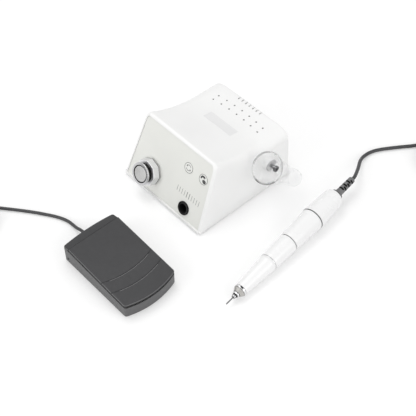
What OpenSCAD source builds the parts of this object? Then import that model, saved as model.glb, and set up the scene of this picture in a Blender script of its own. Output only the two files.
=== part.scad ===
// Nail drill set: a control box with a speed knob, a foot pedal and a lying handpiece with its cord.
// Millimetres. +Z is up, the front panel faces -Y, the origin is the middle of the set's footprint.

/* [Layout on the table] */
// Middle of the control box, along X
box_x = -45.3; // [-60:0.1:-40]
// Middle of the control box, along Y
box_y = 45; // [40:1:60]
// Rear edge of the foot pedal, along X
pedal_x = -56.8; // [-60:0.1:-40]
// Middle line of the foot pedal, along Y
pedal_y = -112; // [-130:1:-108]
// Front end of the handpiece's nose, along X
nose_x = 99.7; // [96:0.1:112]
// Front end of the handpiece's nose, along Y
nose_y = -41.2; // [-52:0.1:-40]
// Heading of the handpiece, nose to tail, in degrees from +X
hand_heading = 96.3; // [94:0.1:100]

/* [Control box] */
// Width at the table
box_w = 124; // [116:1:136]
// Depth from the front edge to the rear wall
box_d = 135; // [128:1:146]
// Height of the front panel's top edge
front_h = 80; // [76:1:86]
// Height of the level rear part of the top
rear_h = 61.5; // [57:0.5:66]
// Distance behind the front edge where the falling top levels out
sweep_end = 106; // [98:1:110]
// Lean of the front panel from upright, in degrees
panel_lean = 22; // [19:0.5:25]
// Lean of the side walls inwards, in degrees
side_draft = 5; // [3:0.5:6]
// Wall of the housing
wall = 2.5; // [2:0.1:3]
// Height of the rounded shoulder between top and side
shoulder_drop = 11; // [8:0.5:14]
// Width of that shoulder at the front panel
shoulder_front = 7; // [6:0.5:9]
// Width of that shoulder at the rear wall
shoulder_rear = 17; // [12:0.5:19]
// Radius of the rim round the front panel
rim_r = 3.5; // [3:0.1:4.2]
// How far the rim stands proud of the panel
rim_proud = 0.8; // [0.4:0.1:1.2]
// Radius of the rear edges
edge_r = 3; // [2:0.5:4]
// Thickness of the base plate
base_t = 2.8; // [2.4:0.1:3.2]
// Height of the rubber feet of the box
foot_h = 1.5; // [1.2:0.1:2]
// Radius of a rubber foot
foot_r = 6; // [4:0.5:7]
// Thickness of the front panel
panel_t = 2.5; // [2:0.1:3]
// Radius of a vent hole in the top
vent_r = 1.15; // [0.8:0.05:1.6]
// Distance between vent holes in a row
vent_pitch = 11.5; // [9:0.5:12]
// Width of a vent slot over the rear edge
slot_w = 1.6; // [1:0.1:2.4]
// Distance between vent slots
slot_pitch = 5.5; // [4:0.5:6]

/* [Knob, buttons and sockets] */
// Knob's distance from the left side of the box at the table
knob_in = 36; // [34:1:40]
// Knob's place up the panel
knob_s = 26; // [24:1:32]
// Radius of the knob's skirt
skirt_r = 14.8; // [13:0.2:16]
// Radius of the knob's front disc
disc_r = 12.4; // [11.4:0.2:13]
// Length of the knob out from the panel
knob_l = 16.5; // [15:0.5:19]
// Radius of the potentiometer's shaft
shaft_r = 3; // [2.6:0.1:3.2]
// Radius of a push button
button_r = 6.2; // [5:0.1:7]
// Outer button's distance from the right side of the box at the table
button_in = 18.3; // [17.5:0.1:20]
// Distance between the two buttons
button_pitch = 22.4; // [20:0.2:24]
// The buttons' place up the panel
button_s = 61.2; // [58:0.2:64]
// Press of a button
button_travel = 0.6; // [0.4:0.1:0.7]
// Handpiece socket's distance from the right side of the box at the table
socket_in = 31.2; // [28:0.2:36]
// Handpiece socket's place up the panel
socket_s = 15.5; // [15:0.1:17]
// Radius of the handpiece socket's flange
socket_r = 7.8; // [7:0.1:8.2]
// Bore of the handpiece socket
socket_bore = 5.2; // [4.6:0.1:5.4]
// Bore of the pedal jack
jack_bore = 3.2; // [3:0.1:3.6]
// Swing of the power rocker between off and on, in degrees
rocker_swing = 20; // [14:1:22]

/* [Handpiece holder] */
// Distance of the holder's middle line from the side of the box at the table
holder_out = 18; // [17:0.5:22]
// Pivot behind the middle of the box
holder_y = 34.7; // [30:0.5:38]
// Pivot above the table
holder_z = 37; // [34:0.5:39]
// Lean of the holder's mouth towards the front, in degrees
holder_lean = 43; // [30:1:50]
// Radius of the holder's mouth
mouth_r = 16.7; // [15:0.1:17]
// Radius of the holder's small end
tail_r = 7.3; // [6.5:0.1:8]
// Length of the holder above the pivot
mouth_l = 36; // [32:0.5:38]
// Length of the holder below the pivot
tail_l = 30; // [26:0.5:31]
// Wall of the clear holder
holder_wall = 1.8; // [1.4:0.1:2.2]

/* [Handpiece] */
// Radius of the nose's front end
nose_r = 6.85; // [6.6:0.05:7.4]
// Radius at the front of the chuck ring
chuck_r = 9.9; // [9.6:0.1:10.4]
// Radius at the front of the middle body
middle_r = 11.05; // [10.8:0.05:11.6]
// Widest radius, at the front of the rear cap
wide_r = 13.2; // [12.6:0.1:14]
// Radius at the rear end
rear_r = 11.4; // [10.8:0.1:12]
// Length of the nose cone
nose_l = 42.8; // [41:0.2:48]
// Length of the chuck ring, with its trim
chuck_l = 32.1; // [30:0.1:36]
// Length of the middle body, with its trim
middle_l = 40.5; // [39:0.5:46]
// Length of the rear cap, with its trim
rear_l = 41; // [40:0.2:46]
// Width of the trim rings
trim_w = 1; // [0.6:0.1:1.6]
// Length of the silver nose cap
cap_l = 9; // [8:0.5:10]
// Radius of the bit's shank
shank_r = 1.175; // [1:0.005:1.2]
// Length of the shank ahead of the nose cap
shank_out = 14; // [11:0.5:18]
// Length of the slotted strain relief
relief_l = 30; // [29:0.2:34]

/* [Foot pedal] */
// Width of the pedal
pedal_w = 64.5; // [60:0.5:70]
// Length of the pedal to its front corners
pedal_l = 100.8; // [96:0.2:106]
// How far the front edge bulges past its corners
front_bow = 6.1; // [5:0.1:8]
// How far the rear edge bulges past its corners
back_bow = 2.5; // [2:0.1:4]
// Height of the plate at its rear edge
pedal_h = 24; // [23.4:0.2:26]
// How far the plate falls to its front corners
plate_fall = 5.3; // [4.4:0.1:6]
// Height of the rear strip at its back edge
strip_h = 20.6; // [20:0.2:21.4]
// Wall of the tray
tray_wall = 2.2; // [1.8:0.1:2.6]
// Width of the fixed strip at the rear
strip_w = 10.7; // [10.3:0.1:11.4]
// Gap under the plate's edge
press_gap = 2.8; // [2.7:0.1:3.2]
// Corner radius in plan
pedal_corner = 3; // [2.6:0.1:5]
// Pivot pin's place from the rear edge
pin_x = 9; // [8.6:0.1:9.6]
// Pivot pin's height
pin_z = 6.2; // [6:0.1:6.8]
// Radius of the pivot pin
pin_r = 1.5; // [1.2:0.1:1.6]

/* [Cords] */
// Diameter of the handpiece's cord
hand_cord_d = 4; // [3.8:0.1:4.2]
// Diameter of the pedal's cord
pedal_cord_d = 3.5; // [3.2:0.1:3.6]

/* [Hidden] */

$fn = 64;
// Radial clearance of a pin or shaft in its hole
run_gap = 0.05;
// Clearance between moulded pieces that fit together
fit_gap = 0.2;
// How far a cutting tool runs past the face that it cuts
past = 1;

// Control box
seam_z = foot_h + base_t;
front_y = -box_d / 2;
back_y = box_d / 2;
top_run = front_h * tan(panel_lean);
fall = front_h - rear_h;
sweep_r = (pow(sweep_end - top_run, 2) + fall * fall) / (2 * fall);
shoulder_steps = 6;
body_steps = 12;
round_steps = 3;
flange_t = 2;
lip_gap = 0.8;
lip_in = wall + 0.5;
panel_corner = 0.4;
post_r = 4;
post_h = 26;
post_in = 8.5;
post_from = [34, 12];
post_x = box_w / 2 - post_in;
post_ys = [front_y + post_from[0], back_y - post_from[1]];
screw_r = 1.25;
screw_head_r = 2.9;
screw_l = 15;
foot_in = [22, 16];
foot_x = box_w / 2 - foot_in[0];
foot_y = box_d / 2 - foot_in[1];
rib_t = 1.5;
rib_h = 4;
rib_in = [40, 18];
rib_from = front_y + rib_in[0];
rib_to = back_y - rib_in[1];
vent_count = 7;
vent_in = [15.8, 24.1];
vent_rows = [back_y - vent_in[0], back_y - vent_in[1]];
vent_bow = 2.4;
slot_count = 7;
slot_l = 6;
slot_drop = 4;

// Panel features
knob_x = knob_in - box_w / 2;
button_x = box_w / 2 - button_in - button_pitch;
socket_x = box_w / 2 - socket_in;
board_gap = 8;
board_t = 1.6;
board_d = -panel_t - board_gap;
board_in = [16, 14];
board_x = [board_in[0] - box_w / 2, box_w / 2 - board_in[1]];
board_s = [17, 72];
board_post_r = 2.5;
board_post_inset = 4;
pot_r = 8.25;
bush_r = shaft_r + 0.5;
nut_r = 6;
nut_h = 2.2;
bush_out = 4;
knob_lift = 1;
skirt_h = 7.2;
neck_l = 2.8;
neck_in = 1.9;
knob_hollow_r = disc_r - 1;
knob_hollow = 4;
cap_t = 1.8;
cap_in = 3.2;
cap_groove = 0.5;
button_out = 0.4;
button_flange = 1.2;
button_lip = 1.2;
stem_r = 1.75;
switch_h = 3.5;
switch_w = 6;
switch_gap = 0.2;
socket_flange = 1.2;
socket_body_r = socket_bore + 1.3;
socket_depth = 10.4;
socket_bore_l = 8.7;
contact_r = 1;
contact_ring = 2.6;

// Pieces on the base plate
trans_x = -24;
trans_y = 4;
core_w = 46;
core_d = 22;
core_h = 38;
limb = 7.5;
window_h = core_h - 2 * limb;
window_w = (core_w - 4 * limb) / 2;
coil_bulge = 8;
strap_t = 1;
strap_w = 12;
strap_ear = 8;
pcb_x = 27;
pcb_y = 8;
pcb_w = 44;
pcb_d = 56;
pcb_lift = 5;
cap_r = 8;
cap_h = 25;

// Rear panel pieces
bezel_t = 1.5;
rocker_x = -35;
rocker_z = 30;
rocker_w = 10.2;
rocker_l = 16;
rocker_frame_w = 15;
rocker_frame_l = 21;
rocker_body = 15;
rocker_bezel = 1;
rocker_sink = 4.5;
rocker_rise = 4.2;
rocker_dip = 2.9;
rocker_pin_r = 1.25;
inlet_x = 32;
inlet_z = 30;
inlet_w = 24;
inlet_h = 15;
inlet_body = 17;
inlet_bezel = 1.7;
inlet_pin_x = 4.3;
inlet_pin_r = 1.2;
inlet_pin_l = 9;
inlet_recess_r = 4.4;
inlet_recess = 11;
jack_x = 0;
jack_z = 30;
jack_flange_r = jack_bore + 3.3;
jack_flange = 2;
jack_bush_r = jack_bore + 1.3;
jack_body_r = 7;
jack_body = 18;
jack_bore_l = 20;

// Holder
holder_x = box_w / 2 + holder_out;
boss_r = 8;
boss_end = holder_x - 16.8;
washer_t = 0.8;
bolt_r = 2;
bolt_l = 20;
bolt_head_r = 3.6;
bolt_head = 2.2;
holder_slope = (mouth_r - tail_r) / (mouth_l + tail_l);
pivot_r = tail_r + holder_slope * tail_l;
seat_x = -(pivot_r - holder_wall + 0.6);
mouth_rim = 0.9;
mouth_rim_h = 2.2;

// Handpiece
ring1 = nose_l;
ring2 = ring1 + chuck_l;
ring3 = ring2 + middle_l;
hand_l = ring3 + rear_l;
trim_in = 0.15;
hand_tilt = atan((wide_r - chuck_r) / (ring3 + trim_w - ring1 - trim_w));
nose_z = chuck_r * cos(hand_tilt) - (ring1 + trim_w) * sin(hand_tilt);
sleeve_r = 8.2;
sleeve_end = ring2 + 7;
nose_bore = 5.5;
sleeve_bore = 6.5;
can_r = 9;
can_from = sleeve_end + 0.6;
can_wall = 1.6;
core_r = 6.6;
spindle_r = 3;
spindle_tip_r = 2.6;
collet_r = 1.85;
collet_out = 3.5;
cap_tip_r = 3.6;
collar_w = 2.4;
bearing_w = 4;
brush_w = 3;
commutator_r = 4;
end_r = 7;
end_l = 7;
end_steps = 6;
relief_root_r = 4.6;
relief_neck_r = 4.2;
relief_end_r = 3.8;
relief_core_r = 2.6;
relief_flange_r = 6.6;
relief_flange = [1.2, 2.8];
relief_spigot = 6;
can_gap = 1.9;
can_l = hand_l - relief_spigot - can_gap - can_from;
relief_slots = 6;
relief_slot_w = 1.5;
relief_slot_from = 9.5;
relief_pitch = 3;
relief_bridge = 1;
relief_turn = 32;

// Foot pedal
pad_h = 1;
pad_r = 5;
floor_t = 2;
floor_z = pad_h + floor_t;
front_arc = (pow(pedal_w / 2, 2) + front_bow * front_bow) / (2 * front_bow);
back_arc = (pow(pedal_w / 2, 2) + back_bow * back_bow) / (2 * back_bow);
strip_gap = 1.3;
strip_t = 2.6;
strip_rise = 0.178;
tongue = [16, 20];
plate_from = strip_w + strip_gap;
plate_t = 1.8;
fall_rate = plate_fall / (pedal_l - plate_from);
skirt_gap = 0.7;
skirt_t = 1.6;
skirt_low = 10;
ear_y = 23;
ear_t = 4;
ear_r = 2.8;
groove_xs = [pedal_l - 29.5, pedal_l - 14];
groove_w = 1;
groove_d = 0.5;
edge_round = 1;
spring_x = 64.5;
spring_r = 5;
spring_wire = 0.9;
spring_turns = 6;
peg_r = 3.6;
peg_h = 3;
switch_x = 40.5;
switch_size = [20, 8, 9];
plunger_r = 1.6;
plunger_top = floor_z + switch_size.z + 1.6;
plunger_l = 5;
grommet_r = 4.2;
grommet_l = 8;
grommet_z = 7;

// Cords: diameter, gap between turns, and the coils that hold what isn't laid out
turn_gap = 1.1;
ring_steps = 24;
tie_t = 1;
tie_w = 6;
tie_gap = 0.5;
tie_turn = 60;
straight = 1.5;
// Each coil: middle, angle where the cord comes in, sense of winding, turns in a layer, inner radius
hand_coil = [127.5, 251.5, 144, -1, 3.45, 13.2];
pedal_coil = [-158, -196.5, 132, 1, 3.941, 11];
hand_route = [[76.6, 152.8, 15.4], [73.5, 158.6, 13.4], [69.9, 165, 11.2], [65.7, 171.8, 8.8], [61.5,
        178.6, 6.2],
              [58.5, 185.4, 4], [57.1, 192.4, 2.7], [57.3, 199.6, 2.1], [59.3, 206.8, 2.1], [62.8, 213.8,
                      2.1],
              [67, 220.6, 2.1], [71.4, 227.4, 2.1], [76, 234.2, 2.1], [80.8, 241, 2.1], [85.6, 248, 2.4],
              [90.2, 254.6, 2.8]];
pedal_route = [[-75, -112.4, 5], [-80, -112, 3.1], [-85.5, -111.8, 2], [-91, -112.4, 1.9], [-98, -114.6,
        1.9],
               [-106, -118.6, 1.9], [-114, -123.6, 1.9], [-122, -129, 1.9], [-130, -134.8, 1.9], [-138,
                       -141, 1.9],
               [-146, -147.4, 1.9], [-154, -154, 2], [-162, -161, 2.4], [-168, -166.4, 2.8]];

function top_z(t) = t >= sweep_end ? rear_h : rear_h + sweep_r - sqrt(pow(sweep_r, 2) - pow(sweep_end - t,
    2));
function half_w(z) = box_w / 2 - z * tan(side_draft);

// Right half and left half of a cross-section of the box, from one bottom corner over the top to the other
function outline(zt, sh, inset, zb) =
    let (cx = half_w(zt - shoulder_drop) - sh, cz = zt - shoulder_drop,
         right = concat([[half_w(zb) - inset, zb]],
                        [for (i = [0 : shoulder_steps]) let (a = 90 * i / shoulder_steps)
                         [cx + (sh - inset) * cos(a), cz + (shoulder_drop - inset) * sin(a)]]))
    concat(right, [for (i = [len(right) - 1 : -1 : 0]) [-right[i].x, right[i].y]]);

// The same outline set on a plane that leans from tb at the table to tt at the top
function section(tb, tt, zt, sh, inset, zb) =
    [for (p = outline(zt, sh, inset, zb)) [p.x, front_y + tb + (tt - tb) * p.y / zt, p.y]];

function body_station(f, t0, t1, inset, zb) =
    let (tt = top_run + t0 + f * (t1 - t0 - top_run))
    section(t0 + f * (t1 - t0), tt, top_z(tt), shoulder_front + f * (shoulder_rear - shoulder_front),
            inset, zb);

function rim_station(a) =
    let (q = (rim_r * (1 - cos(a)) - rim_proud) / cos(panel_lean), tt = top_run + q)
    section(q, tt, q < 0 ? front_h : top_z(tt), shoulder_front, rim_r * (1 - sin(a)), seam_z);

function rear_station(a) =
    let (t = box_d - edge_r * (1 - sin(a)))
    section(t, t, top_z(t), shoulder_rear, edge_r * (1 - cos(a)), seam_z);

// End face of a skin, in triangles from one half of the outline to the other
function cap_faces(n) =
    [for (j = [0 : n / 2 - 2]) each [[j, j + 1, n - 1 - j], [j + 1, n - 2 - j, n - 1 - j]]];
// Closed skin over a row of cross-sections that have the same even number of points
module skin(rows) {
    n = len(rows[0]);
    m = len(rows);
    polyhedron(points = [for (r = rows) for (p = r) p],
               faces = concat([for (f = cap_faces(n)) [f[2], f[1], f[0]]],
                              [for (f = cap_faces(n)) [for (k = f) (m - 1) * n + k]],
                              [for (i = [0 : m - 2]) for (j = [0 : n - 1]) let (k = (j + 1) % n)
                               each [[i * n + j, i * n + k, (i + 1) * n + k],
                                     [i * n + j, (i + 1) * n + k, (i + 1) * n + j]]]));
}

// Tube swept along a path, with its rings square to it
function unit(v) = v / norm(v);
function tangent(p, i) = unit(p[min(i + 1, len(p) - 1)] - p[max(i - 1, 0)]);
function ring(c, t, r, sides) =
    let (u = unit(cross(t, [0, 0, 1])), v = cross(u, t))
    [for (k = [0 : sides - 1]) let (a = 360 * (k + 0.5) / sides) c + r * (cos(a) * u + sin(a) * v)];
module tube(path, d, sides) {
    skin([for (i = [0 : len(path) - 1]) ring(path[i], tangent(path, i), d / 2, sides)]);
}

// Path of a flat coil in two layers: in along the lower one, up in half a turn, out along the upper one
function coil_step(d) = d + turn_gap;
function coil_outer(c, d) = c[5] + c[4] * coil_step(d);
function coil_low(d) = tie_t + tie_gap + d / 2;
function coil_high(d) = coil_low(d) + coil_step(d);
function coil_dir(c, a) = [cos(c[2] + c[3] * a), sin(c[2] + c[3] * a), 0];
function coil_heading(c, a) = c[3] * [-sin(c[2] + c[3] * a), cos(c[2] + c[3] * a), 0];
function coil_end(c) = 720 * c[4] + 180;
function coil_point(c, d, a) =
    let (turn = 360 * c[4], rise = max(0, min(1, (a - turn) / 180)),
         r = a < turn ? coil_outer(c, d) - coil_step(d) * a / 360 : c[5] + coil_step(d) * max(0,
                 a - turn - 180) / 360)
    [c[0], c[1], coil_low(d) + coil_step(d) * (1 - cos(180 * rise)) / 2] + r * coil_dir(c, a);
function coil_start(c, d) = coil_point(c, d, 0) - straight * d * coil_heading(c, 0);
function coil_tail(c, d) = coil_point(c, d, coil_end(c)) + straight * d * coil_heading(c, coil_end(c));
function coil_path(c, d) =
    concat([coil_start(c, d)],
           [for (i = [0 : floor(coil_end(c) * ring_steps / 360)]) coil_point(c, d, 360 * i / ring_steps)],
           [coil_point(c, d, coil_end(c)), coil_tail(c, d)]);
function least_gap(p, d) =
    min([for (i = [0 : len(p) - 1]) for (j = [i + ring_steps / 2 : 1 : len(p) - 1]) norm(p[j] - p[i])]) - d;
function path_length(p, i = 0) = i >= len(p) - 1 ? 0 : norm(p[i + 1] - p[i]) + path_length(p, i + 1);

module at_box() { translate([box_x, box_y, 0]) children(); }
module at_pedal() { translate([pedal_x, pedal_y, 0]) children(); }
module at_hand() {
    translate([nose_x, nose_y, nose_z]) rotate([0, 0, hand_heading]) rotate([0, 90 - hand_tilt,
            0]) children();
}
module at_holder() {
    at_box() translate([holder_x, holder_y, holder_z]) rotate([holder_lean, 0, 0]) children();
}
// Across, up and out of the front panel's face
module on_panel(x = 0, s = 0, d = 0) {
    at_box() translate([0, front_y, 0]) rotate([90 - panel_lean, 0, 0]) translate([x, s, d]) children();
}
// Across, up and out of the rear wall
module on_rear(x, z) { at_box() translate([x, back_y, z]) rotate([-90, 0, 0]) children(); }

module rounded_rect(w, d, r) {
    square([w - 2 * r, d], center = true);
    square([w, d - 2 * r], center = true);
    for (x = [-1, 1], y = [-1, 1])
        translate([x * (w / 2 - r), y * (d / 2 - r)]) circle(r = r);
}
module washer(outer, inner, h) {
    difference() {
        cylinder(h = h, r = outer);
        translate([0, 0, -past]) cylinder(h = h + 2 * past, r = inner);
    }
}
// Outline of the panel and of its opening, whose corners are a little rounder than the rim's
module panel_plan(inset, zb) {
    polygon([for (p = outline(front_h, shoulder_front + panel_corner, inset, zb)) [p.x,
            p.y / cos(panel_lean)]]);
}

// Control box

module housing_shell() {
    body_from = (rim_r - rim_proud) / cos(panel_lean);
    cavity_from = panel_t / cos(panel_lean);
    difference() {
        skin(concat([for (i = [0 : round_steps - 1]) rim_station(90 * i / round_steps)],
                    [for (i = [0 : body_steps]) body_station(i / body_steps, body_from, box_d - edge_r, 0,
                            seam_z)],
                    [for (i = [1 : round_steps]) rear_station(90 * i / round_steps)]));
        skin([for (i = [0 : body_steps])
              body_station(i / body_steps, cavity_from, box_d - wall, wall, seam_z - past)]);
        translate([-box_x, -box_y, 0]) on_panel(0, 0, -panel_t - past)
            linear_extrude(panel_t + rim_proud + 2 * past) panel_plan(rim_r, seam_z - panel_t - 2 * past);
    }
}
module vents() {
    for (y = vent_rows, i = [0 : vent_count - 1]) {
        x = (i - (vent_count - 1) / 2) * vent_pitch;
        bow = vent_bow * pow(2 * i / (vent_count - 1) - 1, 2);
        translate([x, y - bow, rear_h - wall - past]) cylinder(h = wall + 2 * past, r = vent_r);
    }
    for (i = [0 : slot_count - 1])
        translate([(i - (slot_count - 1) / 2) * slot_pitch, back_y, rear_h])
            cube([slot_w, 2 * slot_l, 2 * slot_drop], center = true);
}
module rear_cuts() {
    translate([rocker_x, back_y, rocker_z])
        cube([rocker_frame_w - 2 * rocker_bezel + fit_gap, 4 * wall,
                rocker_frame_l - 2 * rocker_bezel + fit_gap],
             center = true);
    translate([inlet_x, back_y, inlet_z])
        cube([inlet_w - 2 * inlet_bezel + fit_gap, 4 * wall, inlet_h - 2 * inlet_bezel + fit_gap],
                center = true);
    translate([jack_x, back_y - 2 * wall, jack_z])
        rotate([-90, 0, 0]) cylinder(h = 4 * wall, r = jack_bush_r + fit_gap / 2);
}
module housing() {
    color("white") at_box() difference() {
        union() {
            housing_shell();
            for (x = [-post_x, post_x], y = post_ys)
                translate([x, y, seam_z]) cylinder(h = post_h, r = post_r);
            translate([half_w(holder_z) - 2 * wall, holder_y, holder_z]) rotate([0, 90, 0])
                cylinder(h = boss_end - half_w(holder_z) + 2 * wall, r = boss_r);
        }
        for (x = [-post_x, post_x], y = post_ys)
            translate([x, y, seam_z - past]) cylinder(h = screw_l + past, r = screw_r + run_gap);
        translate([half_w(holder_z) - 3 * wall, holder_y, holder_z]) rotate([0, 90, 0])
            cylinder(h = boss_end, r = bolt_r + run_gap);
        vents();
        rear_cuts();
    }
}
module base_plate() {
    color("whitesmoke") at_box() difference() {
        union() {
            translate([0, 0, foot_h]) linear_extrude(base_t) rounded_rect(2 * half_w(seam_z), box_d,
                    edge_r);
            for (side = [-1, 1])
                translate([side * (half_w(seam_z + rib_h) - wall - fit_gap - rib_t / 2),
                        (rib_from + rib_to) / 2,
                           seam_z + rib_h / 2 - fit_gap])
                    cube([rib_t, rib_to - rib_from, rib_h + 2 * fit_gap], center = true);
            for (x = [-1, 1], y = [-1, 1])
                translate([pcb_x + x * (pcb_w / 2 - board_post_inset),
                        pcb_y + y * (pcb_d / 2 - board_post_inset),
                           foot_h + base_t / 2])
                    cylinder(h = pcb_lift + base_t / 2, r = board_post_r);
        }
        for (x = [-post_x, post_x], y = post_ys) {
            translate([x, y, 0]) cylinder(h = seam_z + past, r = screw_r + fit_gap);
            translate([x, y, 0]) cylinder(h = foot_h + base_t / 2, r = screw_head_r + fit_gap);
        }
    }
}
module rubber_feet() {
    color("dimgray") at_box() for (x = [-foot_x, foot_x], y = [-foot_y, foot_y])
        translate([x, y, 0]) union() {
            cylinder(h = foot_h / 2, r1 = foot_r - foot_h / 4, r2 = foot_r);
            translate([0, 0, foot_h / 2]) cylinder(h = foot_h / 2, r = foot_r);
        }
}
module case_screws() {
    color("silver") at_box() for (x = [-post_x, post_x], y = post_ys)
        translate([x, y, foot_h]) union() {
            cylinder(h = base_t / 2, r = screw_head_r);
            cylinder(h = base_t + screw_l - fit_gap, r = screw_r);
        }
}
module front_panel() {
    board_post_l = board_gap + panel_t / 2;
    color("beige") difference() {
        union() {
            on_panel(0, 0, -panel_t - flange_t) linear_extrude(panel_t + flange_t) panel_plan(rim_r + fit_gap, 0);
            on_panel(0, 0, -panel_t - flange_t) linear_extrude(flange_t - lip_gap) panel_plan(lip_in, 0);
            for (x = [board_x[0] + board_post_inset, board_x[1] - board_post_inset],
                    s = [board_s[1] - board_post_inset])
                on_panel(x, s, board_d) cylinder(h = board_post_l, r = board_post_r);
        }
        at_box() translate([-box_w, front_y - box_d, seam_z + fit_gap / 2 - box_w])
            cube([2 * box_w, 2 * box_d, box_w]);
        on_panel(0, 0, -panel_t - flange_t - past) linear_extrude(flange_t + past) panel_window();
        on_panel(knob_x, knob_s, -panel_t - past) cylinder(h = panel_t + 2 * past,
                r = bush_r + fit_gap / 2);
        for (i = [0, 1])
            on_panel(button_x + i * button_pitch, button_s, 0) {
                translate([0, 0, -panel_t - past]) cylinder(h = panel_t + 2 * past, r = button_r + run_gap);
                translate([0, 0, -panel_t - flange_t - past])
                    cylinder(h = flange_t + past, r = button_r + button_lip + fit_gap);
            }
        on_panel(socket_x, socket_s, -panel_t - flange_t - past)
            cylinder(h = panel_t + flange_t + 2 * past, r = socket_body_r + fit_gap / 2);
    }
}
// Inside the border that stiffens the back of the panel
module panel_window() {
    border = rim_r + flange_t;
    difference() {
        panel_plan(border, -box_w);
        translate([-box_w, -box_w]) square([2 * box_w, box_w + seam_z]);
        for (x = [board_x[0] + board_post_inset, board_x[1] - board_post_inset])
            translate([x, board_s[1] - board_post_inset]) circle(r = board_post_r);
    }
}
module potentiometer_shaft() {
    color("silver") on_panel(knob_x, knob_s, -panel_t - board_gap / 2)
        cylinder(h = panel_t + board_gap / 2 + knob_l - cap_t - cap_groove - fit_gap, r = shaft_r);
}
module potentiometer() {
    color("slategray") difference() {
        union() {
            on_panel(knob_x, knob_s, board_d) cylinder(h = board_gap, r = pot_r);
            on_panel(knob_x, knob_s, -panel_t - past) cylinder(h = panel_t + past + bush_out, r = bush_r);
            on_panel(knob_x, knob_s, 0) cylinder(h = nut_h, r = nut_r, $fn = 6);
        }
        on_panel(knob_x, knob_s, -panel_t - board_gap / 2 - fit_gap)
            cylinder(h = panel_t + board_gap + bush_out, r = shaft_r + run_gap);
    }
}
module speed_knob() {
    skirt_top = knob_lift + skirt_h;
    disc_from = skirt_top + neck_l;
    color("gainsboro") on_panel(knob_x, knob_s, 0) rotate_extrude() difference() {
        polygon([[0, knob_lift], [skirt_r, knob_lift], [skirt_r - 0.2, skirt_top - 0.8], [skirt_r - 1,
                skirt_top],
                 [disc_r - neck_in, skirt_top], [disc_r - neck_in, disc_from], [disc_r - 0.5, disc_from],
                 [disc_r, disc_from + 0.5], [disc_r, knob_l - 1.2], [disc_r - 1.2, knob_l], [0, knob_l]]);
        square([knob_hollow_r, knob_lift + knob_hollow]);
        square([shaft_r + run_gap, knob_l - cap_t - cap_groove]);
        translate([0, knob_l - cap_t - cap_groove]) square([disc_r - cap_in + cap_groove, knob_l]);
    }
}
module knob_cap() {
    color("silver") on_panel(knob_x, knob_s, knob_l - cap_t - cap_groove) rotate_extrude()
        polygon([[0, 0], [disc_r - cap_in, 0], [disc_r - cap_in, cap_t - 0.3], [disc_r - cap_in - 0.3,
                cap_t], [0, cap_t]]);
}
module push_button(x) {
    color("beige") on_panel(x, button_s, 0) rotate_extrude()
        polygon([[0, -panel_t - button_flange - 1.8], [stem_r, -panel_t - button_flange - 1.8],
                 [stem_r, -panel_t - button_flange], [button_r + button_lip, -panel_t - button_flange],
                 [button_r + button_lip, -panel_t - run_gap], [button_r, -panel_t - run_gap], [button_r,
                         button_out - 0.3],
                 [button_r - 0.3, button_out], [0, button_out]]);
}
module direction_button() { push_button(button_x); }
module hand_foot_button() { push_button(button_x + button_pitch); }
module button_switches() {
    actuator = board_gap - switch_h - button_flange - 1.8 - button_travel - switch_gap;
    color("dimgray") for (i = [0, 1]) on_panel(button_x + i * button_pitch, button_s, board_d) union() {
        translate([0, 0, switch_h / 2]) cube([switch_w, switch_w, switch_h], center = true);
        cylinder(h = switch_h + actuator, r = stem_r);
    }
}
module control_board() {
    notch_x = socket_x - socket_r - 2;
    notch_s = socket_s + socket_r + 2;
    color("darkgreen") difference() {
        on_panel(board_x[0], board_s[0], board_d - board_t)
            cube([board_x[1] - board_x[0], board_s[1] - board_s[0], board_t]);
        on_panel(notch_x, board_s[0] - past, board_d - board_t - past)
            cube([board_x[1] - notch_x + past, notch_s - board_s[0] + past, board_t + 2 * past]);
    }
}
module handpiece_socket() {
    color("black") on_panel(socket_x, socket_s, 0) difference() {
        rotate_extrude() polygon([[0, -socket_depth], [socket_body_r, -socket_depth], [socket_body_r, 0],
                [socket_r, 0],
                                  [socket_r, socket_flange - 0.4], [socket_r - 0.4, socket_flange], [0,
                                          socket_flange]]);
        translate([0, 0, socket_flange - socket_bore_l]) cylinder(h = socket_bore_l + past,
                r = socket_bore);
        for (a = [90, 210, 330])
            rotate(a) translate([contact_ring, 0, -socket_depth - past])
                cylinder(h = socket_depth, r = contact_r + run_gap);
    }
}
module socket_contacts() {
    color("gold") on_panel(socket_x, socket_s, -socket_depth) for (a = [90, 210, 330])
        rotate(a) translate([contact_ring, 0, 0])
            washer(contact_r, contact_r * 0.6, socket_depth + socket_flange - socket_bore_l);
}

// Pieces on the base plate

module transformer_core() {
    color("dimgray") at_box() translate([trans_x, trans_y + core_d / 2, seam_z]) rotate([90, 0, 0])
        linear_extrude(core_d) difference() {
            translate([-core_w / 2, 0]) square([core_w, core_h]);
            for (side = [-1, 1])
                translate([side * (limb + window_w / 2) - window_w / 2, limb]) square([window_w, window_h]);
        }
}
module transformer_coil() {
    color("peru") at_box() translate([trans_x, trans_y, seam_z + core_h / 2]) difference() {
        cube([2 * (limb + window_w) - 2 * fit_gap, core_d + 2 * coil_bulge, window_h - 2 * fit_gap],
                center = true);
        cube([2 * (limb + fit_gap), core_d + 2 * fit_gap, window_h], center = true);
    }
}
module transformer_strap() {
    inner = core_w / 2 + run_gap;
    over = core_h + run_gap;
    color("silver") at_box() translate([trans_x, trans_y + strap_w / 2, seam_z]) rotate([90, 0, 0])
        linear_extrude(strap_w)
            polygon([[-inner - strap_ear, 0], [-inner, 0], [-inner, over], [inner, over], [inner, 0],
                     [inner + strap_ear, 0], [inner + strap_ear, strap_t], [inner + strap_t, strap_t],
                     [inner + strap_t, over + strap_t], [-inner - strap_t, over + strap_t],
                     [-inner - strap_t, strap_t], [-inner - strap_ear, strap_t]]);
}
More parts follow.
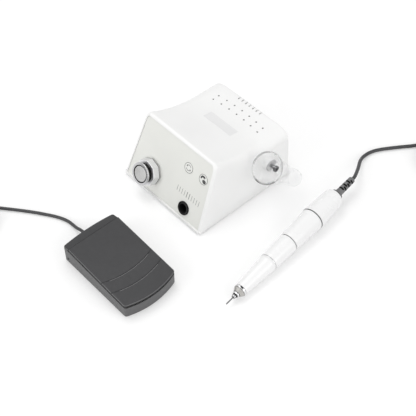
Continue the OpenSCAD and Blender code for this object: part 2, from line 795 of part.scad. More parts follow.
module power_board() {
    color("darkgreen") at_box() translate([pcb_x - pcb_w / 2, pcb_y - pcb_d / 2, seam_z + pcb_lift])
        cube([pcb_w, pcb_d, board_t]);
}
module main_capacitor() {
    color("midnightblue") at_box() translate([pcb_x, pcb_y - pcb_d / 4, seam_z + pcb_lift + board_t])
        rotate_extrude() polygon([[0, 0], [cap_r, 0], [cap_r, cap_h - 1], [cap_r - 1, cap_h], [0, cap_h]]);
}

// Rear wall

module power_switch() {
    inner_l = rocker_l + 2 * rocker_bezel;
    inner_w = rocker_w + 4 * run_gap;
    color("black") on_rear(rocker_x, rocker_z) difference() {
        union() {
            translate([0, 0, bezel_t / 2]) cube([rocker_frame_w, rocker_frame_l, bezel_t], center = true);
            translate([0, 0, -rocker_body / 2])
                cube([rocker_frame_w - 2 * rocker_bezel, rocker_frame_l - 2 * rocker_bezel, rocker_body],
                        center = true);
        }
        translate([0, 0, bezel_t]) cube([inner_w, inner_l, 2 * (rocker_body - bezel_t)], center = true);
        translate([-rocker_frame_w, 0, -rocker_sink]) rotate([0, 90, 0])
            cylinder(h = 2 * rocker_frame_w, r = rocker_pin_r + run_gap);
    }
}
module power_rocker() {
    half = rocker_l / 2;
    color("black") on_rear(rocker_x, rocker_z) translate([0, 0, -rocker_sink]) rotate([-rocker_swing / 2,
            0, 0]) union() {
        translate([-rocker_w / 2, 0, 0]) rotate([90, 0, 90]) linear_extrude(rocker_w)
            polygon([[-half + 2, -3], [half - 2, -3], [half, rocker_rise], [0, rocker_dip], [-half,
                    rocker_rise]]);
        translate([-rocker_frame_w / 2 + 1.4, 0, 0]) rotate([0, 90, 0])
            cylinder(h = rocker_frame_w - 2.8, r = rocker_pin_r);
    }
}
module inlet_shape(r) {
    for (side = [-1, 1]) translate([side * inlet_pin_x, 0]) circle(r = r);
    square([2 * inlet_pin_x, 1.8 * r], center = true);
}
module mains_inlet() {
    color("black") on_rear(inlet_x, inlet_z) difference() {
        union() {
            translate([0, 0, bezel_t / 2]) cube([inlet_w, inlet_h, bezel_t], center = true);
            translate([0, 0, -inlet_body / 2])
                cube([inlet_w - 2 * inlet_bezel, inlet_h - 2 * inlet_bezel, inlet_body], center = true);
        }
        translate([0, 0, bezel_t - inlet_recess]) linear_extrude(inlet_recess + past) inlet_shape(inlet_recess_r);
        for (side = [-1, 1])
            translate([side * inlet_pin_x, 0, -inlet_body - past]) cylinder(h = inlet_body,
                    r = inlet_pin_r + run_gap);
    }
}
module inlet_pins() {
    color("silver") on_rear(inlet_x, inlet_z) for (side = [-1, 1])
        translate([side * inlet_pin_x, 0, -inlet_body]) union() {
            cylinder(h = inlet_body + bezel_t - inlet_recess + inlet_pin_l - 1, r = inlet_pin_r);
            translate([0, 0, inlet_body + bezel_t - inlet_recess + inlet_pin_l - 1])
                cylinder(h = 1, r1 = inlet_pin_r, r2 = inlet_pin_r / 2);
        }
}
module pedal_jack() {
    color("black") on_rear(jack_x, jack_z) rotate_extrude() difference() {
        polygon([[0, -wall - jack_body], [jack_body_r, -wall - jack_body], [jack_body_r, -wall],
                [jack_bush_r, -wall],
                 [jack_bush_r, 0], [jack_flange_r, 0], [jack_flange_r, jack_flange - 0.6],
                 [jack_flange_r - 0.6, jack_flange], [0, jack_flange]]);
        translate([0, jack_flange - jack_bore_l]) square([jack_bore, jack_bore_l + past]);
    }
}

// Handpiece holder

module handpiece_holder() {
    inner_x = boss_end + washer_t + run_gap - holder_x;
    color("lightcyan", 0.5) at_holder() difference() {
        union() {
            rotate_extrude() polygon([[0, -tail_l], [tail_r, -tail_l], [mouth_r, mouth_l], [0, mouth_l]]);
            translate([0, 0, mouth_l - mouth_rim_h]) cylinder(h = mouth_rim_h, r = mouth_r + mouth_rim);
            translate([inner_x, 0, 0]) rotate([0, 90, 0]) cylinder(h = seat_x - inner_x + holder_wall,
                    r = boss_r - 1);
        }
        rotate_extrude() polygon([[0, -tail_l - past], [tail_r - holder_wall, -tail_l - past],
                                  [tail_r - holder_wall, -tail_l], [mouth_r - holder_wall, mouth_l],
                                  [mouth_r - holder_wall, mouth_l + past], [0, mouth_l + past]]);
        translate([inner_x - past, 0, 0]) rotate([0, 90, 0]) cylinder(h = -inner_x, r = bolt_r + run_gap);
        translate([seat_x, 0, 0]) rotate([0, 90, 0]) cylinder(h = bolt_head + 2 * past,
                r = bolt_head_r + fit_gap);
    }
}
module holder_screw() {
    color("silver") at_holder() translate([seat_x + run_gap, 0, 0]) rotate([0, 90, 0]) difference() {
        union() {
            cylinder(h = bolt_head, r = bolt_head_r);
            translate([0, 0, -bolt_l]) cylinder(h = bolt_l + past, r = bolt_r);
        }
        translate([0, 0, bolt_head - 1.2]) cylinder(h = 2 * past, r = 1.8, $fn = 6);
    }
}
module holder_washer() {
    color("silver") at_holder() translate([boss_end - holder_x, 0, 0]) rotate([0, 90, 0])
        washer(boss_r - 1, bolt_r + run_gap, washer_t);
}

// Handpiece, along its own axis from the front of the nose

module nose_cap() {
    color("silver") at_hand() rotate_extrude() difference() {
        polygon([[0, -cap_l], [cap_tip_r, -cap_l], [cap_tip_r + 1, -cap_l + 0.6], [nose_r - 0.15,
                -collar_w - 0.6],
                 [nose_r + 0.2, -collar_w], [nose_r + 0.2, 0], [nose_bore - run_gap,
                         0], [nose_bore - run_gap, 5],
                 [0, 5]]);
        translate([0, -cap_l - past]) square([spindle_tip_r + fit_gap, cap_l + 5 + 2 * past]);
    }
}
module nose_cone() {
    color("white") at_hand() rotate_extrude()
        polygon([[nose_bore, 0], [nose_r - 0.4, 0], [nose_r, 0.4], [chuck_r - 0.1, ring1], [sleeve_r,
                ring1],
                 [sleeve_r, sleeve_end], [sleeve_bore, sleeve_end], [sleeve_bore, ring1 - 1], [nose_bore,
                         ring1 - 1]]);
}
module chuck_ring() {
    from = ring1 + trim_w;
    color("white") at_hand() rotate_extrude()
        polygon([[sleeve_r + run_gap, from + run_gap], [chuck_r - 0.3, from + run_gap], [chuck_r,
                from + 0.3],
                 [middle_r, ring2 - 0.3], [middle_r - 0.3, ring2 - run_gap], [sleeve_r + run_gap,
                         ring2 - run_gap]]);
}
module trim_rings() {
    color("dimgray") at_hand() union() {
        translate([0, 0, ring1]) washer(chuck_r - trim_in, sleeve_r + run_gap, trim_w);
        translate([0, 0, ring2]) washer(middle_r - trim_in, sleeve_r + run_gap, trim_w);
        translate([0, 0, ring3]) washer(wide_r - trim_in, can_r + run_gap, trim_w);
    }
}
module middle_body() {
    color("white") at_hand() rotate_extrude()
        polygon([[sleeve_r + run_gap, ring2 + trim_w], [middle_r - 0.3, ring2 + trim_w], [middle_r,
                ring2 + trim_w + 0.3],
                 [wide_r - 0.35, ring3 - 0.3], [wide_r - 0.65, ring3], [can_r + run_gap, ring3],
                 [can_r + run_gap, can_from - run_gap], [sleeve_r + run_gap, can_from - run_gap]]);
}
module rear_cap() {
    from = ring3 + trim_w;
    color("white") at_hand() rotate_extrude() difference() {
        polygon(concat([[0, from], [wide_r, from]],
                       [for (i = [0 : end_steps]) let (a = 90 * i / end_steps)
                        [end_r + (rear_r - end_r) * cos(a), hand_l - end_l * (1 - sin(a))]],
                       [[0, hand_l]]));
        translate([0, from - past]) square([can_r + run_gap, can_from + can_l + run_gap - from + past]);
        square([relief_root_r + run_gap, hand_l + past]);
    }
}
module spindle() {
    tip = cap_l + collet_out - 2;
    motor_end = can_from + 4;
    color("silver") at_hand() rotate_extrude() difference() {
        polygon([[0, -tip], [spindle_tip_r, -tip], [spindle_tip_r, 5.5], [spindle_r, 5.5], [spindle_r,
                ring2 - 8],
                 [spindle_r + 1.5, ring2 - 8], [spindle_r + 1.5, motor_end - 1], [0, motor_end - 1]]);
        translate([0, -tip - past]) square([collet_r + run_gap, tip + 20 + past]);
    }
}
module collet() {
    tip = cap_l + collet_out;
    color("lightgray") at_hand() rotate_extrude()
        polygon([[shank_r + run_gap, -tip], [spindle_tip_r - 0.6, -tip], [spindle_tip_r - 0.2, -tip + 1.9],
                 [collet_r, -tip + 1.9], [collet_r, 18], [shank_r + run_gap, 18]]);
}
module bit_shank() {
    tip = cap_l + shank_out;
    color("silver") at_hand() rotate_extrude()
        polygon([[0, -tip], [shank_r - 0.4, -tip], [shank_r, -tip + 0.8], [shank_r, 16], [0, 16]]);
}
module spindle_bearings() {
    color("lightgray") at_hand() for (z = [6, ring1 - bearing_w - 2,
            can_from + can_l - can_wall - bearing_w])
        translate([0, 0, z]) washer(nose_bore - run_gap, spindle_r + run_gap, bearing_w);
}
module motor_can() {
    inner = can_r - can_wall;
    color("slategray") at_hand() translate([0, 0, can_from]) rotate_extrude() difference() {
        square([can_r, can_l]);
        translate([0, can_wall]) square([inner, can_l - 2 * can_wall - bearing_w]);
        translate([0, can_l - can_wall - bearing_w - past]) square([nose_bore, bearing_w + past]);
        translate([0, -past]) square([spindle_r + 1.5 + fit_gap, can_wall + 2 * past]);
    }
}
module armature() {
    from = can_from + 3;
    stop = can_from + can_l - can_wall;
    color("peru") at_hand() rotate_extrude()
        polygon([[0, from], [spindle_r - 1, from], [spindle_r - 1, from + 6], [core_r, from + 6], [core_r,
                stop - 22],
                 [commutator_r, stop - 20], [commutator_r, stop - 8], [spindle_r, stop - 8], [spindle_r,
                         stop - fit_gap],
                 [0, stop - fit_gap]]);
}
module carbon_brushes() {
    from = commutator_r + run_gap;
    color("dimgray") at_hand() translate([0, 0, can_from + can_l - can_wall - 14]) for (a = [0, 180])
        rotate(a) translate([from, 0, 0]) difference() {
            translate([0, -brush_w / 2, -brush_w / 2]) cube([can_r - can_wall - from - 0.3, brush_w,
                    brush_w]);
            translate([-from, 0, -brush_w]) cylinder(h = 2 * brush_w, r = from);
        }
}
// Cord relief: a plain neck behind a thin flange, then half slots that open to either side in turn
module strain_relief() {
    color("black") at_hand() translate([0, 0, hand_l]) difference() {
        rotate_extrude()
            polygon([[0, -relief_spigot], [relief_root_r, -relief_spigot], [relief_root_r,
                    relief_flange[0]],
                     [relief_flange_r, relief_flange[0]], [relief_flange_r, relief_flange[1]],
                     [relief_neck_r, relief_flange[1]], [relief_end_r,
                             relief_l - 0.6], [relief_end_r - 0.6, relief_l],
                     [0, relief_l]]);
        for (i = [0 : relief_slots - 1])
            translate([0, 0, relief_slot_from + i * relief_pitch]) rotate(relief_turn + 180 * i) difference() {
                washer(relief_flange_r, relief_core_r, relief_slot_w);
                translate([-relief_flange_r - past, -relief_flange_r - past - relief_bridge, -past])
                    cube([2 * (relief_flange_r + past), relief_flange_r + past, relief_slot_w + 2 * past]);
            }
    }
}

// Foot pedal, from its rear edge forwards along X

function arc(c, r, a0, a1, steps) =
    [for (i = [0 : steps]) let (a = a0 + (a1 - a0) * i / steps) c + r * [cos(a), sin(a)]];
// Outline in plan, drawn in from the outside by the inset: rear arc, corner, side, corner, front arc
function plan_points(inset) =
    let (corner = max(pedal_corner, inset + 0.5), cy = pedal_w / 2 - corner,
            fx = pedal_l + front_bow - front_arc,
         rear_c = [back_arc - sqrt(pow(back_arc - corner, 2) - cy * cy), cy],
         front_c = [fx + sqrt(pow(front_arc - corner, 2) - cy * cy), cy],
         rear_a = 180 - atan2(cy, back_arc - rear_c.x), front_a = atan2(cy, front_c.x - fx),
         half = concat(arc([back_arc, 0], back_arc - inset, 179.5, rear_a, 5),
                       arc(rear_c, corner - inset, rear_a - 15, 90, 5),
                       arc(front_c, corner - inset, 90, front_a + 11, 5),
                       arc([fx, 0], front_arc - inset, front_a, 1, 7)))
    concat(half, [for (i = [len(half) - 1 : -1 : 0]) [half[i].x, -half[i].y]]);
function plan_row(inset, z, rate) = [for (p = plan_points(inset)) [p.x, p.y, z - rate * p.x]];
module pedal_plan(inset = 0) { polygon(plan_points(inset)); }
// Heights along X: the plate's top, middle and underside, the tray's edge below them, and the strip's underside
function plate_top(x) = pedal_h - fall_rate * (x - plate_from);
function plate_mid(x) = plate_top(x) - plate_t / 2;
function plate_low(x) = plate_top(x) - plate_t;
function tray_top(x) = plate_low(x) - press_gap;
function strip_low(x) = strip_h - strip_t + strip_rise * x;
// Sloping lid with a rounded upper edge, given by its heights at the rear and how fast it falls
module lid(low, top, rate) {
    skin(concat([plan_row(0, low, rate)],
                [for (i = [0 : round_steps]) let (a = 90 * i / round_steps)
                 plan_row(edge_round * (1 - cos(a)), top - edge_round * (1 - sin(a)), rate)]));
}
// A side view, as wide as the pedal
module side_view(points) {
    translate([0, pedal_w, 0]) rotate([90, 0, 0]) linear_extrude(2 * pedal_w) polygon(points);
}
module plan_from(x, inset) {
    intersection() {
        pedal_plan(inset);
        translate([x, -pedal_w]) square([2 * pedal_l, 2 * pedal_w]);
    }
}
module plan_to(x, inset) {
    intersection() {
        pedal_plan(inset);
        translate([-past, -pedal_w]) square([x + past, 2 * pedal_w]);
    }
}
module pedal_base() {
    rear = -back_bow;
    front = pedal_l + 2 * front_bow;
    peak = (tray_top(0) - strip_low(0)) / (strip_rise + fall_rate);
    color("dimgray") at_pedal() difference() {
        union() {
            difference() {
                intersection() {
                    linear_extrude(2 * pedal_h) pedal_plan();
                    side_view([[rear, pad_h], [front, pad_h], [front, tray_top(front)], [peak,
                            tray_top(peak)],
                               [rear, strip_low(rear)]]);
                }
                translate([0, 0, floor_z]) linear_extrude(2 * pedal_h) pedal_plan(tray_wall);
            }
            translate([spring_x, 0, floor_z - floor_t / 2]) cylinder(h = peg_h + floor_t / 2, r = peg_r);
        }
        translate([pin_x, pedal_w, pin_z]) rotate([90, 0, 0]) cylinder(h = 2 * pedal_w,
                r = pin_r + run_gap);
        translate([-past, 0, grommet_z]) rotate([0, 90, 0]) cylinder(h = tray_wall + 3 * past,
                r = grommet_r - 1);
    }
}
module pedal_rear_strip() {
    color("dimgray") at_pedal() union() {
        intersection() {
            lid(strip_low(0), strip_h, -strip_rise);
            translate([-pedal_l, -pedal_w, 0]) cube([pedal_l + strip_w, 2 * pedal_w, 2 * pedal_h]);
        }
        translate([0, 0, tongue[0]]) linear_extrude(tongue[1] - tongue[0])
            plan_to(strip_w - 2, tray_wall + fit_gap);
    }
}
module pedal_plate() {
    skirt_in = tray_wall + skirt_gap;
    front = pedal_l + 2 * front_bow;
    ear_end = pin_x + 14;
    color("dimgray") at_pedal() difference() {
        union() {
            intersection() {
                lid(plate_low(0), plate_top(0), fall_rate);
                translate([plate_from, -pedal_w, 0]) cube([2 * pedal_l, 2 * pedal_w, 2 * pedal_h]);
            }
            intersection() {
                translate([0, 0, skirt_low]) linear_extrude(pedal_h) difference() {
                    plan_from(plate_from, skirt_in);
                    plan_from(plate_from - past, skirt_in + skirt_t);
                }
                side_view([[0, 0], [front, 0], [front, plate_mid(front)], [0, plate_mid(0)]]);
            }
            for (side = [-1, 1]) translate([0, side * ear_y + ear_t / 2, 0]) rotate([90, 0,
                    0]) linear_extrude(ear_t)
                union() {
                    translate([pin_x, pin_z]) circle(r = ear_r);
                    polygon([[pin_x - ear_r, pin_z], [pin_x + ear_r * 0.7, pin_z - ear_r * 0.7],
                             [ear_end, plate_low(ear_end) - 1], [ear_end, plate_mid(ear_end)],
                             [plate_from + 1, plate_mid(plate_from + 1)], [plate_from,
                                     plate_low(plate_from) - 2]]);
                }
            translate([spring_x, 0, plate_low(spring_x) - peg_h]) cylinder(h = peg_h + plate_t / 2,
                    r = peg_r);
            translate([switch_x, 0, plunger_top + run_gap])
                cylinder(h = plate_mid(switch_x) - plunger_top - run_gap, r = 2 * plunger_r);
        }
        translate([pin_x, pedal_w, pin_z]) rotate([90, 0, 0]) cylinder(h = 2 * pedal_w,
                r = pin_r + run_gap);
        translate([plate_from, 0, pedal_h]) rotate([0, atan(fall_rate), 0]) for (x = groove_xs)
            translate([x - plate_from - front_arc, 0, -groove_d]) difference() {
                cylinder(h = past, r = front_arc + groove_w / 2, $fn = 180);
                translate([0, 0, -past]) cylinder(h = 3 * past, r = front_arc - groove_w / 2, $fn = 180);
            }
    }
}
module pivot_pin() {
    color("silver") at_pedal() translate([pin_x, pedal_w / 2 - tray_wall / 4, pin_z]) rotate([90, 0, 0])
        cylinder(h = pedal_w - tray_wall / 2, r = pin_r);
}
module return_spring() {
    low = floor_z + spring_wire / 2 + run_gap;
    high = plate_low(spring_x + spring_r + spring_wire) - spring_wire / 2 - run_gap;
    color("silver") at_pedal() translate([spring_x, 0, 0])
        tube([for (i = [0 : 8 * spring_turns]) let (a = 45 * i)
              [spring_r * cos(a), spring_r * sin(a),
                      low + (high - low) * i / (8 * spring_turns)]], spring_wire, 6);
}
module foot_switch() {
    color("black") at_pedal() translate([switch_x, 0, floor_z]) difference() {
        translate([-switch_size.x / 2, -switch_size.y / 2, 0]) cube(switch_size);
        translate([0, 0, plunger_top - floor_z - plunger_l - 1.5]) cylinder(h = switch_size.z,
                r = plunger_r + run_gap);
    }
}
module switch_plunger() {
    color("red") at_pedal() translate([switch_x, 0, plunger_top - plunger_l]) rotate_extrude()
        polygon([[0, 0], [plunger_r, 0], [plunger_r, plunger_l - 0.5], [plunger_r - 0.5, plunger_l], [0,
                plunger_l]]);
}
module pedal_feet() {
    color("black") at_pedal() for (x = [pedal_corner + pad_r + 2, pedal_l - pad_r - 4], side = [-1, 1])
        translate([x, side * (pedal_w / 2 - pad_r - 4), 0]) union() {
            cylinder(h = pad_h / 2, r1 = pad_r - pad_h / 4, r2 = pad_r);
            translate([0, 0, pad_h / 2]) cylinder(h = pad_h / 2, r = pad_r);
        }
}
module pedal_grommet() {
    color("black") at_pedal() translate([0, 0, grommet_z]) rotate([0, -90, 0]) rotate_extrude()
        polygon([[0, -tray_wall - 1.5], [grommet_r - 1.2, -tray_wall - 1.5], [grommet_r - 1.2, run_gap],
                 [grommet_r, run_gap], [grommet_r, 1.5], [grommet_r - 1, 2.5], [pedal_cord_d / 2 + 0.8,
                         grommet_l],
                 [0, grommet_l]]);
}

// Cords

hand_dir = [cos(hand_heading) * cos(hand_tilt), sin(hand_heading) * cos(hand_tilt), sin(hand_tilt)];
hand_exit = [nose_x, nose_y, nose_z] + (hand_l + relief_l) * hand_dir;
hand_path = concat([hand_exit, hand_exit + hand_cord_d * hand_dir], hand_route,
                   [coil_start(hand_coil, hand_cord_d) - hand_cord_d * coil_heading(hand_coil, 0),
                    coil_start(hand_coil, hand_cord_d)]);
pedal_exit = [pedal_x - grommet_l, pedal_y, grommet_z];
pedal_path = concat([pedal_exit, pedal_exit - [pedal_cord_d, 0, 0]], pedal_route,
                    [coil_start(pedal_coil, pedal_cord_d) - pedal_cord_d * coil_heading(pedal_coil, 0),
                     coil_start(pedal_coil, pedal_cord_d)]);

module cord_coil(c, d) {
    path = coil_path(c, d);
    echo("gap between the turns", least_gap(path, d), "length in the coil", path_length(path));
    tube(path, d, 6);
}
// A plug's profile, turned about the line on which the cord leaves its coil
module at_tail(c, d) {
    a = coil_end(c);
    translate(coil_tail(c, d)) rotate([0, 0, c[2] + c[3] * a + c[3] * 90]) rotate([0, 90, 0]) children();
}
module cord_tie(c, d, a) {
    across = coil_outer(c, d) - c[5] + d + 2 * tie_gap;
    high = coil_step(d) + d + 2 * tie_gap;
    translate([c[0], c[1], tie_t + high / 2]) rotate([0, 0, a])
        translate([(coil_outer(c, d) + c[5]) / 2, tie_w / 2, 0]) rotate([90, 0,
                0]) linear_extrude(tie_w) difference() {
            rounded_rect(across + 2 * tie_t, high + 2 * tie_t, 2 * tie_t);
            rounded_rect(across, high, tie_t);
        }
}
module handpiece_cord() { color("black") tube(hand_path, hand_cord_d, 8); }
module pedal_cord() { color("black") tube(pedal_path, pedal_cord_d, 8); }
module handpiece_cord_coil() { color("black") cord_coil(hand_coil, hand_cord_d); }
module pedal_cord_coil() { color("black") cord_coil(pedal_coil, pedal_cord_d); }
module handpiece_plug() {
    body_r = coil_high(hand_cord_d) - fit_gap;
    color("black") at_tail(hand_coil, hand_cord_d) rotate_extrude()
        polygon([[0, 0], [hand_cord_d / 2 + 0.8, 0], [body_r - 2.5, 10], [body_r - 1, 11], [body_r, 13],
                [body_r, 40],
                 [body_r - 1, 41], [socket_bore - run_gap, 41], [socket_bore - run_gap,
                         41 + socket_bore_l - 0.4],
                 [socket_bore - 0.5, 41 + socket_bore_l], [0, 41 + socket_bore_l]]);
}
module pedal_plug() {
    body_r = coil_high(pedal_cord_d) - fit_gap;
    color("black") at_tail(pedal_coil, pedal_cord_d) rotate_extrude()
        polygon([[0, 0], [pedal_cord_d / 2 + 0.8, 0], [pedal_cord_d / 2 + 1.1, 5], [body_r - 3.8, 10],
                 [body_r - 2.5, 14], [body_r - 1, 17.5], [body_r, 20], [body_r, 36],
                 [body_r - 1, 37], [jack_bore - run_gap, 37], [jack_bore - run_gap, 52], [jack_bore - 1,
                         53],
                 [jack_bore - 0.8, 54], [jack_bore - 2.4, 37 + jack_bore_l], [0, 37 + jack_bore_l]]);
}
module cord_ties() {
    color("black") union() {
        cord_tie(hand_coil, hand_cord_d, tie_turn);
        cord_tie(pedal_coil, pedal_cord_d, tie_turn);
    }
}

housing();
base_plate();
front_panel();
rubber_feet();
case_screws();
speed_knob();
knob_cap();
potentiometer_shaft();
potentiometer();
direction_button();
hand_foot_button();
button_switches();
control_board();
handpiece_socket();
socket_contacts();
transformer_core();
transformer_coil();
transformer_strap();
power_board();
main_capacitor();
power_switch();
power_rocker();
mains_inlet();
inlet_pins();
pedal_jack();
handpiece_holder();
holder_screw();
holder_washer();
nose_cap();
nose_cone();
chuck_ring();
trim_rings();
middle_body();
rear_cap();
spindle();
collet();
bit_shank();
spindle_bearings();
motor_can();
armature();
carbon_brushes();
strain_relief();
pedal_base();
pedal_plate();
pedal_rear_strip();
pivot_pin();
return_spring();
foot_switch();
switch_plunger();
pedal_feet();
pedal_grommet();
handpiece_cord();
handpiece_cord_coil();
handpiece_plug();
pedal_cord();
pedal_cord_coil();
pedal_plug();
cord_ties();
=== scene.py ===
"""A nail drill set on a white table: control box with knob and holder, foot pedal and lying handpiece."""
import math

import bpy
from mathutils import Matrix, Vector


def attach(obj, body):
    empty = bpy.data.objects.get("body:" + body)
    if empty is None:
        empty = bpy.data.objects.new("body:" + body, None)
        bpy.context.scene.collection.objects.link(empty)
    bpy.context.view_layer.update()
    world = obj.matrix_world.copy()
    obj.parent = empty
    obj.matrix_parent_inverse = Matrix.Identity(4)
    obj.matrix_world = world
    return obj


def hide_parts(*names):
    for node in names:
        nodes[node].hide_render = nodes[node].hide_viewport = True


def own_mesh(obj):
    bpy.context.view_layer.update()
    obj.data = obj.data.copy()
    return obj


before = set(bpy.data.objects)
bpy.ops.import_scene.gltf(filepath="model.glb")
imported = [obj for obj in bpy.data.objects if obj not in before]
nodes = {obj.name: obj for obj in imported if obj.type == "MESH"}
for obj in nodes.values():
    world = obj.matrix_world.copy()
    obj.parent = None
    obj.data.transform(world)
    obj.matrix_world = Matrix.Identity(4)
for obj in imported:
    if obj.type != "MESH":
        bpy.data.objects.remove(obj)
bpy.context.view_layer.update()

MM = 0.001
BODY = "set"

# Places and sizes of the three units, in millimetres, as the solids have them.
BOX_AT = Vector((-45.3, 45.0, 0.0))
BOX_D = 135.0
FRONT_H, REAR_H = 80.0, 61.5
SWEEP_END = 106.0
PANEL_LEAN = math.radians(22)
SWEEP_RUN = SWEEP_END - FRONT_H * math.tan(PANEL_LEAN)
KNOB_AT = (-26.0, 26.0)
BUTTONS_AT = ((21.3, 61.2), (43.7, 61.2))
BUTTON_OUT = 0.4
PEDAL_AT = Vector((-56.8, -112.0, 0.0))
PEDAL_H, PEDAL_L, PLATE_FROM, PLATE_FALL = 24.0, 100.8, 12.0, 5.3
PLATE_SLOPE = math.atan(PLATE_FALL / (PEDAL_L - PLATE_FROM))
PEDAL_HALF_W, FRONT_BOW = 32.25, 6.1
FRONT_ARC = (PEDAL_HALF_W ** 2 + FRONT_BOW ** 2) / (2 * FRONT_BOW)
NOSE_AT = (99.7, -41.2)
HAND_HEADING = math.radians(96.3)
RING_1, RING_2, RING_3, HAND_END = 42.8, 74.9, 115.4, 156.4
RELIEF_L = 30.0
RELIEF_END = HAND_END + RELIEF_L
NOSE_R, CHUCK_R, MIDDLE_R, WIDE_R = 6.85, 9.9, 11.05, 13.2
TRIM_W = 1.0
HAND_TILT = math.atan((WIDE_R - CHUCK_R) / (RING_3 - RING_1))
NOSE_Z = CHUCK_R * math.cos(HAND_TILT) - (RING_1 + TRIM_W) * math.sin(HAND_TILT)
HOLDER_AT = BOX_AT + Vector((80.0, 34.7, 37.0))
HOLDER_LEAN = math.radians(43)
MOUTH_L, TAIL_L = 36.0, 30.0


# Placing

def moved(at):
    return Matrix.Translation(Vector(at) * MM)


AT_PANEL = moved(BOX_AT + Vector((0, -BOX_D / 2, 0))) @ Matrix.Rotation(math.pi / 2 - PANEL_LEAN, 4, "X")
AT_HAND = (moved((NOSE_AT[0], NOSE_AT[1], NOSE_Z)) @ Matrix.Rotation(HAND_HEADING, 4, "Z")
           @ Matrix.Rotation(math.pi / 2 - HAND_TILT, 4, "Y"))
AT_HOLDER = moved(HOLDER_AT) @ Matrix.Rotation(HOLDER_LEAN, 4, "X")
AT_PLATE = moved(PEDAL_AT + Vector((PLATE_FROM, 0, PEDAL_H))) @ Matrix.Rotation(PLATE_SLOPE, 4, "Y")
AT_REAR = moved(BOX_AT + Vector((0, BOX_D / 2, 0))) @ Matrix.Rotation(-math.pi / 2, 4, "X")


def on_panel(x, s, d=0.0):
    return AT_PANEL @ moved((x, s, d))


AT_KNOB = on_panel(*KNOB_AT)


# Finishes

class Finish:
    """A Principled surface whose patterns are laid on the object's own coordinates."""

    def __init__(self, name):
        self.material = bpy.data.materials.new(name)
        self.material.use_nodes = True
        self.tree = self.material.node_tree
        self.shader = self.tree.nodes["Principled BSDF"]
        self.coords = self.tree.nodes.new("ShaderNodeTexCoord").outputs["Object"]

    def set(self, **values):
        for key, value in values.items():
            self.shader.inputs[key.replace("_", " ")].default_value = value

    def link(self, source, target):
        self.tree.links.new(source, target)

    def mapped(self, scale=(1, 1, 1), turn=(0, 0, 0), shift=(0, 0, 0)):
        node = self.tree.nodes.new("ShaderNodeMapping")
        node.inputs["Scale"].default_value = scale
        node.inputs["Rotation"].default_value = turn
        node.inputs["Location"].default_value = shift
        self.link(self.coords, node.inputs["Vector"])
        return node.outputs["Vector"]

    def noise(self, scale, detail=2.0, rough=0.5, where=None):
        node = self.tree.nodes.new("ShaderNodeTexNoise")
        node.inputs["Scale"].default_value = scale
        node.inputs["Detail"].default_value = detail
        node.inputs["Roughness"].default_value = rough
        self.link(where or self.coords, node.inputs["Vector"])
        return node.outputs["Fac"]

    def local(self, place):
        """Coordinates about a piece's own axis, from the place that it was put in."""
        back = place.inverted()
        return self.mapped((1, 1, 1), back.to_euler(), back.translation)

    def wave(self, kind, pitch, where, stray=0.0):
        node = self.tree.nodes.new("ShaderNodeTexWave")
        node.wave_type = kind
        node.rings_direction = "Z"
        node.bands_direction = "Z"
        node.inputs["Scale"].default_value = math.tau / 20 / pitch
        node.inputs["Distortion"].default_value = stray
        self.link(where, node.inputs["Vector"])
        return node.outputs["Fac"]

    def span(self, source, low, high, start=0.3, stop=0.7):
        node = self.tree.nodes.new("ShaderNodeMapRange")
        node.inputs["From Min"].default_value = start
        node.inputs["From Max"].default_value = stop
        node.inputs["To Min"].default_value = low
        node.inputs["To Max"].default_value = high
        self.link(source, node.inputs["Value"])
        return node.outputs["Result"]

    def blend(self, source, first, second):
        node = self.tree.nodes.new("ShaderNodeMix")
        node.data_type = "RGBA"
        self.link(source, node.inputs["Factor"])
        node.inputs["A"].default_value = (*first, 1)
        node.inputs["B"].default_value = (*second, 1)
        return node.outputs["Result"]

    def bump(self, source, depth, strength=1.0):
        node = self.tree.nodes.new("ShaderNodeBump")
        node.inputs["Strength"].default_value = strength
        node.inputs["Distance"].default_value = depth
        self.link(source, node.inputs["Height"])
        self.link(node.outputs["Normal"], self.shader.inputs["Normal"])

    def colour(self, source):
        self.link(source, self.shader.inputs["Base Color"])

    def rough(self, source):
        self.link(source, self.shader.inputs["Roughness"])


def shade(colour, share):
    return tuple(min(1.0, c * share) for c in colour)


def moulded(name, colour, gloss, grain=2600.0, depth=0.000004, drift=0.03, coat=0.0, dull=0.5):
    """Moulded plastic: slow drift of tone, uneven gloss and a fine skin grain."""
    f = Finish(name)
    slow = f.noise(14.0, 3.0)
    fine = f.noise(grain, 2.0, 0.6)
    f.colour(f.blend(f.span(slow, 0, 1), shade(colour, 1 - drift), shade(colour, 1 + drift / 2)))
    f.rough(f.span(f.noise(90.0, 4.0), gloss - 0.04, gloss + 0.05))
    f.bump(fine, depth)
    f.set(Coat_Weight=coat, Coat_Roughness=0.12, IOR=1.5, Specular_IOR_Level=dull)
    return f.material


def metal(name, colour, gloss, scratch=(900.0, 900.0, 40.0), turn=(0, 0, 0), drift=0.06):
    """Worked metal: long fine marks along one direction, and a cloudy polish."""
    f = Finish(name)
    marks = f.noise(1.0, 3.0, 0.6, f.mapped(scratch, turn))
    cloud = f.noise(60.0, 3.0)
    f.colour(f.blend(f.span(cloud, 0, 1), shade(colour, 1 - drift), colour))
    f.rough(f.span(marks, gloss * 0.75, gloss * 1.3))
    f.bump(marks, 0.000004)
    f.set(Metallic=1.0)
    return f.material


def lathe_metal(name, colour, gloss, place, kind, pitch, depth=0.000005):
    """Turned metal: fine tool marks round the piece's own axis under a cloudy polish."""
    f = Finish(name)
    marks = f.wave(kind, pitch, f.local(place), 1.2)
    f.colour(f.blend(f.span(f.noise(70.0, 3.0), 0, 1), shade(colour, 0.93), colour))
    f.rough(f.span(marks, gloss * 0.8, gloss * 1.25, 0, 1))
    f.bump(marks, depth)
    f.set(Metallic=1.0)
    return f.material


